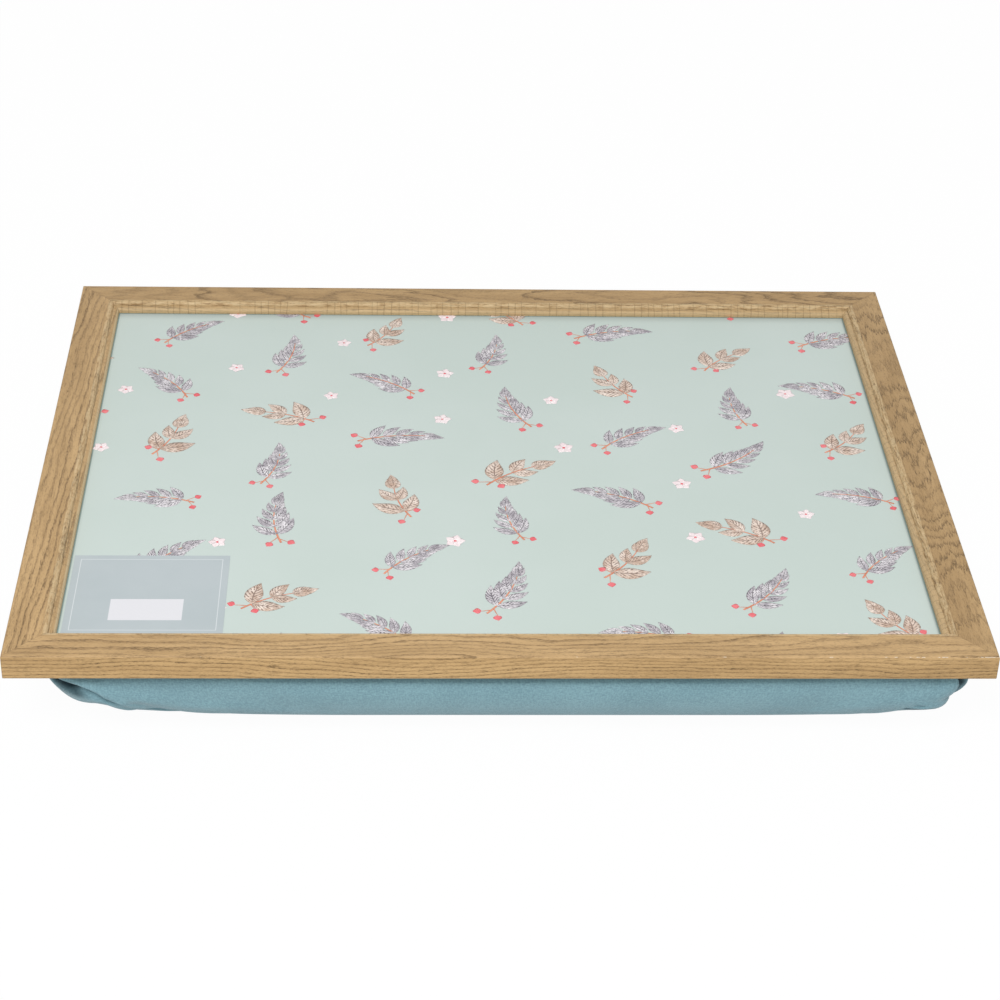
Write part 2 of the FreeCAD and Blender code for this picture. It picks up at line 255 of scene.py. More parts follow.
world = bpy.data.worlds.new("studio")
world.use_nodes = True
bpy.context.scene.world = world
tree = Tree(world.node_tree)
strength = tree.line(SKY_LIGHT, 1.0 - SKY_LIGHT, seen_directly(tree))
tree.fill(world.node_tree.nodes["Background"].inputs, {"Color": (1, 1, 1, 1), "Strength": strength})

for name, (place, size, power) in LAMPS.items():
    lamp = bpy.data.objects.new(name, bpy.data.lights.new(name, "AREA"))
    lamp.data.shape, lamp.data.size, lamp.data.energy = "DISK", size, power
    turn = (LAMP_AIM - Vector(place)).to_track_quat("-Z", "Y").to_matrix().to_4x4()
    lamp.matrix_world = Matrix.Translation(place) @ turn
    bpy.context.collection.objects.link(lamp)
print("lamps", list(LAMPS), "sky", SKY_LIGHT)

# %% [markdown]
# The frame is foamed plastic with a printed and embossed oak foil on it. Oak shows
# the year rings of a log: seen on a flat-sawn face they are arches, on a side face
# nearly straight lines. So the grain here is a log, rings round a tilted axis, and
# each rail is a stick cut from it somewhere else. The dark part of a ring is full of
# pores, short dashes along the grain.

# %% Node group: oak figure
QUICK_WAVE = 1.1 * MM


def make_oak_figure():
    """Rings: the distance from the log's axis, bent by noise and cut into equal steps. Noise drawn out along
    the grain frays each ring into fingers and breaks it into dashes. Pores: shorter dashes, thickest in a
    ring."""
    group, tree, entry, leave = new_group("oak_figure", ["Tilt", "Lean", "Wave", "Fray", "Pitch"],
                                          ["Rings", "Pores", "Tone", "Fibres"])
    place = entry["Vector"]

    def drawn_out(vector, along, across, detail, roughness=0.5):
        """Noise with its own scale along the grain and across it."""
        return tree.noise(tree.scaled(vector, (along, across, across)), 1.0, detail, roughness)

    def shaken(along, across, reach):
        """A sideways push from noise of those scales, up to about half of that reach each way."""
        vector = tree.scaled(place, (along, across, across))
        noise = tree.add("TexNoise", {"Vector": vector, "Scale": 1.0, "Detail": 2.0}).outputs["Color"]
        sideways = tree.add("CombineXYZ", {"Y": reach, "Z": reach}).outputs[0]
        return tree.vectors("MULTIPLY", tree.vectors("SUBTRACT", noise, (0.5,) * 3), sideways)

    slow, quick = shaken(8.0, 30.0, entry["Wave"]), shaken(45.0, 320.0, QUICK_WAVE)
    bent = tree.vectors("ADD", place, tree.vectors("ADD", slow, quick))
    axes = tree.axes(tree.vectors("ADD", bent, shaken(115.0, 1400.0, entry["Fray"])))
    up = tree.plus(axes["Z"], tree.times(axes["X"], entry["Tilt"]))
    aside = tree.plus(axes["Y"], tree.times(axes["X"], entry["Lean"]))
    squares = tree.plus(tree.times(aside, aside), tree.times(up, up))
    year = tree.maths("DIVIDE", tree.maths("SQRT", squares), entry["Pitch"])
    phase = tree.maths("FRACT", year)
    dark = tree.times(tree.rise(phase, 0.0, 0.06), tree.rise(phase, 0.52, 0.10))
    strong = tree.rise(tree.chance(year), -0.4, 0.7)
    broken = tree.rise(drawn_out(place, 40.0, 300.0, 2.0), 0.14, 0.40)
    dash = tree.line(0.4, 0.6, tree.rise(drawn_out(bent, 480.0, 2300.0, 1.0), 0.38, 0.58))
    rings = tree.times(tree.times(dark, strong), tree.times(broken, dash))
    streak = tree.rise(drawn_out(bent, 600.0, 2600.0, 2.0, 0.6), 0.55, 0.64)
    tree.fill(leave, {"Rings": rings, "Pores": tree.times(streak, tree.line(0.35, 0.65, rings)),
                      "Tone": drawn_out(place, 11.0, 100.0, 3.0, 0.65),
                      "Fibres": drawn_out(bent, 140.0, 1000.0, 4.0, 0.78)})
    return group


oak_figure = make_oak_figure()
print("oak figure", len(oak_figure.nodes), "nodes")

# %% [markdown]
# Wear, mitres and the stepped inner edge all lie at known distances from the outer
# faces of the frame. One group turns a place on the tray into those distances.

# %% Node group: distances on the frame
def make_frame_places():
    """Inset: how far in from the nearest outer face. Mitre: how far from the corner's diagonal.
    Drop: how far below the frame's top. All in millimetres."""
    group, tree, entry, leave = new_group("frame_places", [], ["Inset", "Mitre", "Drop"])
    axes = tree.axes(entry["Vector"])
    across = tree.minus(half_width, tree.maths("ABSOLUTE", axes["X"]))
    deep = tree.minus(half_depth, tree.maths("ABSOLUTE", axes["Y"]))
    found = {"Inset": tree.maths("MINIMUM", across, deep),
             "Mitre": tree.maths("ABSOLUTE", tree.minus(across, deep)),
             "Drop": tree.minus(frame_top, axes["Z"])}
    tree.fill(leave, {label: tree.maths("DIVIDE", value, MM) for label, value in found.items()})
    return group


frame_places = make_frame_places()
print("frame places", len(frame_places.nodes), "nodes")

# %% [markdown]
# Each rail gets its own oak finish, because the grain runs along the rail and no two
# rails are cut from the same place. The inner shoulder is paler. Painted light makes the
# inner bead paler, painted shade darkens the quirk, the outer face and the outer edge, a
# dark line lies on each mitre, and the foil has chipped white along the outer edge, most
# of all near the front right corner.

# %% Oak foil on the four rails
OAK_LIGHT, OAK_MIDDLE = colour(194, 161, 115), colour(175, 143, 99)
OAK_DARK, OAK_PORE = colour(112, 88, 56), colour(80, 63, 40)
OAK_PALE, OAK_LINE = colour(203, 180, 140), colour(96, 72, 44)
FOIL_CORE = colour(232, 228, 218)
FACE_PAINTED_SHADE, ARRIS_PAINTED_SHADE = (0.91, 0.89, 0.82), (0.68, 0.68, 0.68)
# Insets in millimetres: the parts of the stepped inner edge, where the foil is stretched over it, and where
# the foil ends on the underside.
FLAT_END, SHOULDER, QUIRK, BEAD_BACK = (15.4, 15.6), (15.9, 19.0), (18.4, 18.9), (18.9, 20.5)
STRETCHED, BEAD_FACE, FOIL_END = (16.0, 16.6), (20.2, 20.8), (1.8, 2.2)
WRINKLE_STEP, WRINKLE_STRAY = 3.6 * MM, 1.6
CHIPPING_RUN, CHIPPING = 70, 0.17
rail_height = (frame_top - frame_under) / MM


def oak_foil(name, turn, heart, shift, shade, chips_from, tilt=0.0, lean=0.0, wave=12.0, fray=0.8,
             pitch=1.5, bead=(0.22, 0.4)):
    """One rail's foil. `turn` lays the grain along the rail and `heart` is where the log's axis is, at the
    middle of the rail. The axis falls by `tilt` and strays sideways by `lean`. `wave` is how far the rings
    wander, `fray` how far their edges do and `pitch` how thick they are, in millimetres. `shift` picks the
    stretch of log, `shade` is how much darker the stick is, `bead` how much painted light brightens the inner
    bead's back and face, and `chips_from` is where along X the foil starts to chip, in millimetres."""
    material, tree, shader = new_finish(name)
    place = tree.place()
    stick = tree.add("Mapping", {
        "Vector": place, "Rotation": (0.0, 0.0, turn),
        "Location": (shift, -heart[0] - lean * shift, -heart[1] - tilt * shift),
    }).outputs[0]
    oak = tree.group(oak_figure, {"Vector": stick, "Tilt": tilt, "Lean": lean, "Wave": wave * MM,
                                  "Fray": fray * MM, "Pitch": pitch * MM})
    where = tree.group(frame_places, {"Vector": place})
    inset, drop = where["Inset"], where["Drop"]

    def between(span, edge=0.3):
        """1 between two insets, with soft edges."""
        start, end = span
        return tree.times(tree.rise(inset, start - edge, start + edge),
                          tree.rise(inset, end + edge, end - edge))

    wood = tree.mix(tree.rise(oak["Tone"], 0.3, 0.7), OAK_MIDDLE, OAK_LIGHT)
    wood = tree.tint(wood, OAK_DARK, tree.rise(oak["Fibres"], 0.52, 0.67), 0.46)
    wood = tree.tint(wood, OAK_DARK, oak["Rings"], 0.85)
    wood = tree.tint(wood, OAK_PORE, oak["Pores"], 0.70)
    wood = tree.scaled(wood, (1 - shade, 1 - 1.03 * shade, 1 - 1.15 * shade))
    # Painted shade: the rail's outer face is made darker than its top.
    face = tree.times(tree.rise(drop, 0.4, 1.0), tree.rise(inset, 0.8, 0.4))
    wood = tree.mix(face, wood, tree.scaled(wood, FACE_PAINTED_SHADE))

    pale = tree.times(between(SHOULDER), tree.rise(oak["Fibres"], 0.62, 0.40))
    wood = tree.tint(wood, OAK_PALE, pale, 0.7)
    # Painted light: the inner bead's back and face are made paler, by `bead`.
    wood = tree.tint(wood, OAK_PALE, between(BEAD_BACK), bead[0])
    wood = tree.tint(wood, OAK_PALE, tree.rise(inset, *BEAD_FACE), bead[1])
    stray = tree.noise(tree.scaled(stick, (90.0, 20.0, 20.0)), 1.0, 1.0)
    count = tree.maths("DIVIDE", tree.axes(stick)["X"], WRINKLE_STEP)
    count = tree.plus(count, tree.times(stray, WRINKLE_STRAY))
    off = tree.maths("ABSOLUTE", tree.minus(tree.maths("FRACT", count), 0.5))
    wrinkle = tree.times(tree.rise(off, 0.08, 0.02), tree.rise(tree.chance(count), 0.1, 0.5))
    wrinkle = tree.times(wrinkle, tree.rise(inset, *STRETCHED))
    wood = tree.tint(wood, OAK_LINE, wrinkle, 0.34)
    wood = tree.tint(wood, OAK_LINE, between(FLAT_END, 0.2), 0.25)
    # Painted shade: a dark line in the quirk.
    wood = tree.tint(wood, OAK_LINE, between(QUIRK, 0.2), 0.12)
    wood = tree.tint(wood, OAK_LINE, tree.rise(where["Mitre"], 0.26, 0.08), 0.35)

    # Painted shade: the wood along the outer edge is darkened to hold down its highlight; the chips are real
    # wear.
    arris = tree.times(tree.rise(inset, 0.34, 0.16), tree.rise(drop, 0.36, 0.18))
    wood = tree.mix(arris, wood, tree.scaled(wood, ARRIS_PAINTED_SHADE))
    flake = tree.noise(tree.scaled(place, (150.0, 150.0, 320.0)), 1.0, 3.0, 0.65)
    loose = tree.rise(tree.axes(place)["X"], chips_from * MM, (chips_from + CHIPPING_RUN) * MM)
    chipped = tree.rise(tree.plus(flake, tree.times(loose, CHIPPING)), 0.65, 0.69)
    chipped = tree.times(chipped, arris)
    under = tree.times(tree.rise(drop, rail_height - 0.15, rail_height - 0.05), tree.rise(inset, *FOIL_END))
    bare = tree.maths("MAXIMUM", chipped, under)
    sunk = tree.plus(tree.times(oak["Pores"], 0.6), tree.times(oak["Fibres"], 0.4))
    height = tree.minus(tree.minus(1.0, sunk), tree.plus(wrinkle, chipped))
    tree.fill(shader.inputs, {
        "Base Color": tree.mix(bare, wood, FOIL_CORE), "Roughness": tree.line(0.46, 0.22, oak["Fibres"]),
        "Normal": tree.bump(height, 0.16 * MM, 0.6), "Specular IOR Level": 0.35})
    return material


# %% The four rails' cuts
QUARTER = np.pi / 2
RAIL_CUTS = {
    "front": dict(turn=0.0, heart=(-half_depth + 24 * MM, frame_top - 38 * MM), shift=0.31, shade=0.0,
                  tilt=0.012, pitch=1.6, chips_from=120),
    "back": dict(turn=0.0, heart=(half_depth - 12 * MM, frame_top - 82 * MM), shift=1.73, shade=0.12,
                 tilt=0.03, pitch=1.2, chips_from=400),
    "left": dict(turn=-QUARTER, heart=(half_width + 30 * MM, frame_top - 45 * MM), shift=2.62, shade=0.0,
                 lean=0.05, wave=11.0, fray=1.4, pitch=2.1, bead=(0.1, 0.95), chips_from=400),
    "right": dict(turn=-QUARTER, heart=(-half_width + 10 * MM, frame_top - 145 * MM), shift=4.05, shade=0.13,
                  tilt=0.05, wave=9.0, fray=1.05, pitch=0.85, bead=(0.45, 0.4), chips_from=170),
}
for side, cut in RAIL_CUTS.items():
    dress(oak_foil("oak_foil_" + side, **cut), f"frame_{side}_rail")
print("oak foil on the rails:", *RAIL_CUTS)

# %% [markdown]
# Paper, print and cloth are never one even colour. A mottle group gives the slow
# unevenness of ink and paper, and a weave group the threads of a plain cloth: one set
# of threads over and under the other, each thread a little lighter or darker. Board,
# steel, felt and thread are two colours mixed by the mottle, so one function makes them.

# %% Node groups: mottle and weave
def make_mottle():
    """Slow: unevenness of a few centimetres. Fine: grain of a fraction of a millimetre."""
    group, tree, entry, leave = new_group("mottle", ["Slow Scale", "Fine Scale"], ["Slow", "Fine"])
    slow = tree.noise(entry["Vector"], entry["Slow Scale"], 3.0, 0.55)
    fine = tree.noise(entry["Vector"], entry["Fine Scale"], 2.0, 0.6)
    tree.fill(leave, {"Slow": tree.rise(slow, 0.3, 0.7), "Fine": tree.rise(fine, 0.3, 0.7)})
    return group


def make_weave():
    """Height: one thread's round back where the two sines agree in sign, the other's where they don't.
    Slub: noise drawn out along each of the two sets of threads, half of each."""
    group, tree, entry, leave = new_group("plain_weave", ["Pitch"], ["Height", "Slub"])
    place = entry["Vector"]
    pitch = tree.add("CombineXYZ", dict.fromkeys("XYZ", entry["Pitch"])).outputs[0]
    axes = tree.axes(tree.vectors("DIVIDE", place, pitch))
    first, second = (tree.maths("SINE", tree.times(axes[name], np.pi)) for name in "XY")
    on_top = tree.rise(tree.times(first, second), -0.15, 0.15)
    warp = tree.times(tree.maths("ABSOLUTE", first), on_top)
    weft = tree.times(tree.maths("ABSOLUTE", second), tree.minus(1.0, on_top))
    slubs = [tree.noise(tree.scaled(place, scales), 1.0, 2.0)
             for scales in ((1500.0, 420.0, 1.0), (420.0, 1500.0, 1.0))]
    tree.fill(leave, {"Height": tree.plus(warp, weft), "Slub": tree.times(tree.plus(*slubs), 0.5)})
    return group


mottle, plain_weave = make_mottle(), make_weave()


def mottled(tree, place, slow, fine):
    """The mottle's two masks, with those scales, in a tree."""
    return tree.group(mottle, {"Vector": place, "Slow Scale": slow, "Fine Scale": fine})


def speckled(name, scales, part, colours, rough, bump=None, metal=0.0):
    """Two colours, mixed by the slow or the fine part of a mottle. `rough` is one roughness, or the start and
    slope of one that follows the fine part. `bump` is the depth and strength of the fine part."""
    material, tree, shader = new_finish(name)
    grain = mottled(tree, tree.place(), *scales)
    values = {"Base Color": tree.mix(grain[part], *colours), "Metallic": metal,
              "Roughness": tree.line(*rough, grain["Fine"]) if isinstance(rough, tuple) else rough}
    if bump:
        values["Normal"] = tree.bump(grain["Fine"], *bump)
    tree.fill(shader.inputs, values)
    return material


print("mottle", len(mottle.nodes), "nodes, weave", len(plain_weave.nodes), "nodes")

# %% [markdown]
# The surface is a wipe-clean laminate printed in pale mint. It is nearly matt, with a
# faint texture that breaks up reflections. Painted shade darkens it a little under the
# frame's lip and in a thin line in the gap there, and a soft painted shadow lies along the back and right.

# %% Mint laminate and board
MINT, MINT_DEEP = colour(194, 206, 201), colour(190, 203, 197)
LIP_SHADE, SIDE_SHADE, GAP_SHADE = colour(140, 158, 160), colour(140, 150, 148), colour(72, 104, 100)
lip_reach = half_width - moulding_width, half_depth - moulding_width
lip_inset = moulding_width / MM

mint_laminate, tree, shader = new_finish("mint_laminate")
place = tree.place()
cloud, axes = mottled(tree, place, 9.0, 1500.0), tree.axes(place)
inset = tree.group(frame_places, {"Vector": place})["Inset"]
base = tree.mix(cloud["Slow"], MINT, MINT_DEEP)
# Painted shade under the frame's lip.
base = tree.tint(base, LIP_SHADE, tree.rise(inset, lip_inset + 2.2, lip_inset), 0.18)
# Painted shadow along the back and the right, where the rails cast it on the sheet.
far = tree.rise(axes["Y"], lip_reach[1] - 8 * MM, lip_reach[1] + 1.5 * MM)
right = tree.rise(axes["X"], lip_reach[0] - 1.8 * MM, lip_reach[0] - 0.6 * MM)
base = tree.tint(base, SIDE_SHADE, tree.maths("MAXIMUM", far, right), 0.55)
# Painted shade: a dark line in the gap under the lip.
base = tree.tint(base, GAP_SHADE, tree.rise(inset, lip_inset + 1.0, lip_inset + 0.4), 0.65)
tree.fill(shader.inputs, {
    "Base Color": base, "Roughness": tree.line(0.40, 0.12, cloud["Fine"]),
    "Normal": tree.bump(cloud["Fine"], 0.02 * MM, 0.35), "Specular IOR Level": 0.35})
dress(mint_laminate, "printed_sheet")

board_colours = colour(150, 118, 84), colour(176, 146, 110)
dress(speckled("fibre_board", (60.0, 900.0), "Fine", board_colours, 0.85, bump=(0.2 * MM, 0.5)), "tray_board")
print("laminate on the sheet, raw board under it")

# %% [markdown]
# The paper label is kept blank: grey-blue stock, a white box for a price and a thin
# keyline inside its edge. Boxes and lines are the same thing here, a soft-edged
# rectangle, so one group draws both.

# %% Node group: rectangle; label paper
def make_rectangle():
    """1 inside a rectangle, 0 outside it, with a soft edge: the step of the lesser of the two reaches."""
    group, tree, entry, leave = new_group(
        "soft_rectangle", ["Centre X", "Centre Y", "Half X", "Half Y", "Softness"], ["Mask"])
    axes = tree.axes(entry["Vector"])
    offs = {name: tree.maths("ABSOLUTE", tree.minus(axes[name], entry["Centre " + name])) for name in "XY"}
    inside = tree.maths("MINIMUM", *(tree.minus(entry["Half " + name], off) for name, off in offs.items()))
    tree.fill(leave, {"Mask": tree.rise(inside, 0.0, entry["Softness"])})
    return group


soft_rectangle = make_rectangle()
label_low, label_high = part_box("paper_label")
label_middle, label_half = (label_low + label_high) / 2, (label_high - label_low) / 2
WHITE_BOX = ((-160.6 * MM, -127.8 * MM), (16.6 * MM, 8.2 * MM))
KEYLINE_INSET, KEYLINE, PRINT_EDGE = 3.0 * MM, 0.35 * MM, 0.12 * MM

label_paper, tree, shader = new_finish("label_paper")
place = tree.place()


def rectangle_on_label(centre, half):
    """A rectangle's mask in the label's tree."""
    values = {"Centre X": centre[0], "Centre Y": centre[1], "Half X": half[0], "Half Y": half[1]}
    return tree.group(soft_rectangle, {"Vector": place, "Softness": PRINT_EDGE, **values})["Mask"]


paper = mottled(tree, place, 30.0, 2400.0)
base = tree.mix(paper["Slow"], colour(172, 182, 185), colour(177, 186, 189))
outer = rectangle_on_label(label_middle, [v - KEYLINE_INSET for v in label_half])
inner = rectangle_on_label(label_middle, [v - KEYLINE_INSET - KEYLINE for v in label_half])
base = tree.tint(base, colour(216, 221, 223), tree.minus(outer, inner), 0.7)
base = tree.mix(rectangle_on_label(*WHITE_BOX), base, colour(217, 217, 221))
tree.fill(shader.inputs, {"Base Color": base, "Roughness": tree.line(0.42, 0.15, paper["Fine"]),
                          "Normal": tree.bump(paper["Fine"], 0.01 * MM, 0.4)})
dress(label_paper, "paper_label")
print("label", [round(v / MM, 1) for v in (*label_low, *label_high)])

# %% [markdown]
# Staples, points and V nails are galvanised wire and strip: grey zinc with a cloudy
# bloom. The lining is a thin felted cloth, pale grey and speckled with fibres.

# %% Steel and lining
zinc_colours = colour(176, 178, 182), colour(206, 208, 210)
zinc = speckled("galvanised_steel", (260.0, 2600.0), "Slow", zinc_colours, (0.28, 0.22), metal=1.0)
dress(zinc, "mitre_v_nails", "board_points", "cushion_staples")

felt_colours = colour(196, 196, 192), colour(214, 214, 210)
felt = speckled("felted_lining", (120.0, 1800.0), "Fine", felt_colours, 0.95, bump=(0.15 * MM, 0.6))
dress(felt, "cushion_lining")
print("steel and lining finished")

# %% [markdown]
# Pieces made here are grids of points: rows and columns of one array. These helpers
# join a grid's points with four-sided faces and put the arrays into a mesh.

# %% Helpers for grids
def grid_faces(rows, columns, around=False):
    """Faces of a grid whose rows run down the outside of a shape and whose columns run anticlockwise
    round it, seen from above. `around` joins the last column to the first."""
    index = np.arange(rows * columns).reshape(rows, columns)
    here = index if around else index[:, :-1]
    after = np.roll(index, -1, axis=1) if around else index[:, 1:]
    return np.stack([here[:-1], here[1:], after[1:], after[:-1]], axis=-1).reshape(-1, 4)


def at_heights(plan, height):
    """Rows of points on the flat, with one height for each row."""
    return np.concatenate([plan, np.broadcast_to(height[:, None, None], (*plan.shape[:2], 1))], axis=2)


def new_piece(name, points, faces, finishes, uv=None, finish_of=None):
    """A mesh object at the origin, smooth, with one UV pair for each point."""
    mesh = bpy.data.meshes.new(name)
    mesh.from_pydata(points.tolist(), [], [list(map(int, face)) for face in faces])
    if uv is not None:
        corner = np.zeros(len(mesh.loops), dtype=np.int32)
        mesh.loops.foreach_get("vertex_index", corner)
        mesh.uv_layers.new(name="UVMap").uv.foreach_set("vector", uv[corner].astype(np.float32).ravel())
    for finish in finishes:
        mesh.materials.append(finish)
    if finish_of is not None:
        mesh.polygons.foreach_set("material_index", np.asarray(finish_of, dtype=np.int32))
    mesh.polygons.foreach_set("use_smooth", np.ones(len(mesh.polygons), dtype=bool))
    mesh.update()
    piece = bpy.data.objects.new(name, mesh)
    bpy.context.collection.objects.link(piece)
    return piece


# %% [markdown]
# The cushion is a cloth bag of beads, sewn to a hem and stapled under the frame. Its
# plan is a rounded rectangle at every level: set in under the frame at the rim,
# fullest at the belly, and drawn in to a flat foot. The grid's columns go round that
# plan and its rows go down the cloth, a few millimetres apart.

# %% Cushion: levels and plan
SIDE_POINTS, END_POINTS, CORNER_POINTS = 92, 68, 11
# Which way each side faces and which way it runs: front, right, back, left.
SIDES = np.array([((0, -1), (1, 0)), ((1, 0), (0, 1)), ((0, 1), (-1, 0)), ((-1, 0), (0, -1))])
# How far in from the frame's outline each level is: at the front and back, and at the ends.
RIM_INSET, BELLY_INSET = np.array([17.5, 20.0]) * MM, np.array([6.0, 12.0]) * MM
FOOT_INSET, INNER_INSET = np.array([66.0, 59.0]) * MM, np.array([80.0, 73.0]) * MM
BELLY_BOW = 1.0 * MM
# Corner radii: front right, back right, back left, front left. Two corners are fuller.
RIM_RADIUS = np.array([8.0, 14.0, 9.0, 14.0]) * MM
BELLY_RADIUS = np.array([10.0, 24.0, 12.0, 26.0]) * MM
FOOT_RADIUS = np.array([52.0, 62.0, 54.0, 62.0]) * MM
INNER_RADIUS = np.array([48.0, 54.0, 50.0, 54.0]) * MM
rim_level, belly_level = hem_low.z + 46.4 * MM, 41.0 * MM
UPPER_ROWS, LOWER_ROWS, FOOT_ROWS = 5, 13, 4


def rounded_plan(inset, radius, bow):
    """Points round a rounded rectangle, one row for each level: along each side a straight run that bows
    outwards as a parabola, then a quarter circle of that corner's radius. Starts at the front left and goes
    anticlockwise. `inset` has one column for the long sides and one for the ends."""
    bow = np.reshape(bow, (-1, 1, 1))
    inset = np.reshape(inset, (-1, 2))[:, :, None, None]
    wide, deep = half_width - inset[:, 1], half_depth - inset[:, 0]
    runs = []
    for number, (outward, along) in enumerate(SIDES):
        long_side = number % 2 == 0
        reach, stand = (wide, deep) if long_side else (deep, wide)
        before, after = radius[:, number - 1, None, None], radius[:, number, None, None]
        part = np.linspace(-1, 1, SIDE_POINTS if long_side else END_POINTS)[:, None]
        run = part * (reach - (before + after) / 2) + (before - after) / 2
        runs.append(outward * (stand + bow * (1 - part**2)) + along * run)
        angle = np.linspace(0, QUARTER, CORNER_POINTS + 2)[1:-1, None]
        runs.append(outward * (stand - after + after * np.cos(angle))
                    + along * (reach - after + after * np.sin(angle)))
    return np.concatenate(runs, axis=1)


def cushion_profile():
    """Inset, corner radius, bow and height of each level: a quarter ellipse from the rim to the belly,
    another from the belly to the foot, and a flat foot inside that."""
    upper = np.linspace(QUARTER, 0, UPPER_ROWS, endpoint=False)
    lower = np.linspace(0, QUARTER, LOWER_ROWS, endpoint=False)
    flat = np.linspace(0, 1, FOOT_ROWS)

    def levels(rim, belly, foot, inner):
        """One measure at every level, from its four values."""
        return np.vstack([rim + np.outer(np.cos(upper), belly - rim),
                          foot + np.outer(np.cos(lower), belly - foot), foot + np.outer(flat, inner - foot)])

    bow = np.r_[BELLY_BOW * np.cos(upper), BELLY_BOW * np.cos(lower), 0 * flat]
    height = np.r_[belly_level + (rim_level - belly_level) * np.sin(upper),
                   belly_level * (1 - np.sin(lower)), 0 * flat]
    return (levels(RIM_INSET, BELLY_INSET, FOOT_INSET, INNER_INSET),
            levels(RIM_RADIUS, BELLY_RADIUS, FOOT_RADIUS, INNER_RADIUS), bow, height)


inset, radius, bow, height = cushion_profile()
cushion_grid = at_heights(rounded_plan(inset, radius, bow), height)
rows, columns = cushion_grid.shape[:2]
runs = [SIDE_POINTS + CORNER_POINTS, END_POINTS + CORNER_POINTS]
corner_places = np.cumsum(runs * 2) - (CORNER_POINTS + 1) / 2
print("cushion grid", rows, "rows", columns, "columns, rim level", round(rim_level / MM, 1), "mm")

# %% [markdown]
# Beads press outwards evenly, so the bag's wall is swelled with cloth simulation:
# pressure inside, no gravity, the rim held by its stitches and the foot by the table.
# At the corners the cloth is given more length than its start, so it puckers there.
# How far a point may move is capped.

# %% Cushion: swell with cloth
PRESSURE, CLOTH_FRAMES, MOST_MOVE = 5.0, 20, 2.5 * MM
SLACK, SLACK_COLUMNS = 0.03, 14


def swell(grid):
    """The grid after cloth simulation with pressure: first and last rows held, movement capped, floor at
    zero."""
    rows, columns = grid.shape[:2]
    index = np.arange(rows * columns).reshape(rows, columns)
    piece = new_piece("cushion_trial", grid.reshape(-1, 3), grid_faces(rows, columns, around=True), [])
    piece.vertex_groups.new(name="held").add(index[[0, -1]].ravel().tolist(), 1.0, "REPLACE")
    settings = piece.modifiers.new("cloth", "CLOTH").settings
    settings.vertex_group_mass = "held"
    settings.quality, settings.mass = 6, 0.2
    settings.tension_stiffness = settings.compression_stiffness = 15.0
    settings.shear_stiffness, settings.bending_stiffness = 5.0, 0.05
    slack = piece.vertex_groups.new(name="slack")
    for at in corner_places.astype(int):
        near = (at + np.arange(-SLACK_COLUMNS, SLACK_COLUMNS + 1)) % columns
        slack.add(index[:, near].ravel().tolist(), 1.0, "REPLACE")
    settings.vertex_group_shrink, settings.shrink_min, settings.shrink_max = "slack", 0.0, -SLACK
    settings.use_pressure, settings.uniform_pressure_force = True, PRESSURE
    settings.effector_weights.gravity = 0.0
    for number in range(1, CLOTH_FRAMES + 1):
        bpy.context.scene.frame_set(number)
    shaped = piece.evaluated_get(bpy.context.evaluated_depsgraph_get()).to_mesh()
    found = np.zeros(3 * rows * columns, dtype=np.float32)
    shaped.vertices.foreach_get("co", found)
    bpy.context.scene.frame_set(1)
    bpy.data.objects.remove(piece)
    move = found.reshape(grid.shape) - grid
    far = np.linalg.norm(move, axis=2, keepdims=True)
    moved = grid + move * (MOST_MOVE * np.tanh(far / MOST_MOVE) / np.maximum(far, 1e-9))
    moved[..., 2] = np.maximum(moved[..., 2], 0.0)
    return moved


swelled = swell(cushion_grid)
grown = np.linalg.norm(swelled - cushion_grid, axis=2)
print(f"cushion moved {grown.max() / MM:.1f} mm at most, belly x {swelled[..., 0].max() / MM:.1f} mm")

# %% [markdown]
# The simulated grid is coarse, so points are put between its own with a cubic blend,
# closest together near the corners, where the cloth folds. On the fine grid, every
# point has a place on the cloth: how far round from its corner's middle, and how far
# down from the rim. Folds are lines on that map.

# %% Cushion: finer grid and its map
# Columns are the fine step apart up to the first distance from a corner, the plain step beyond the second.
FINE_STEP, PLAIN_STEP, STEP_CHANGE = 0.6 * MM, 3.6 * MM, (40 * MM, 90 * MM)
# How many fine rows take the place of one row, from each of these rows on.
ROWS_BETWEEN = {0: 4, 5: 8, 11: 3}


def points_between(points, places, around):
    """Rows of an array at broken row numbers: each is a Catmull-Rom blend of the four whole rows near it."""
    count = len(points)
    first = np.floor(places).astype(int)
    part = (places - first)[:, None, None]
    weights = (-0.5 * part**3 + part**2 - 0.5 * part, 1.5 * part**3 - 2.5 * part**2 + 1,
               -1.5 * part**3 + 2 * part**2 + 0.5 * part, 0.5 * part**3 - 0.5 * part**2)
    near = [first + step for step in (-1, 0, 1, 2)]
    near = [n % count if around else np.clip(n, 0, count - 1) for n in near]
    return sum(weight * points[n] for weight, n in zip(weights, near))


def unit_normals(grid):
    """Outward normals of a grid that closes round: the cross product of its two slopes."""
    down = np.gradient(grid, axis=0)
    round_way = (np.roll(grid, -1, axis=1) - np.roll(grid, 1, axis=1)) / 2
    normal = np.cross(down, round_way)
    return normal / np.maximum(np.linalg.norm(normal, axis=2, keepdims=True), 1e-12)


def lengths_round(loop):
    """Distance round a closed loop of points to each point, and the whole girth."""
    step = np.linalg.norm(np.roll(loop, -1, axis=0) - loop, axis=1)
    return np.r_[0, np.cumsum(step)], step.sum()


round_coarse, girth = lengths_round(cushion_grid[UPPER_ROWS])
corner_at = np.interp(corner_places, np.arange(columns + 1), round_coarse)


def beyond_corner(round_way):
    """For each corner, the distance round the cloth from the corner's middle, from minus to plus half the
    girth."""
    return [(round_way - at + girth / 2) % girth - girth / 2 for at in corner_at]


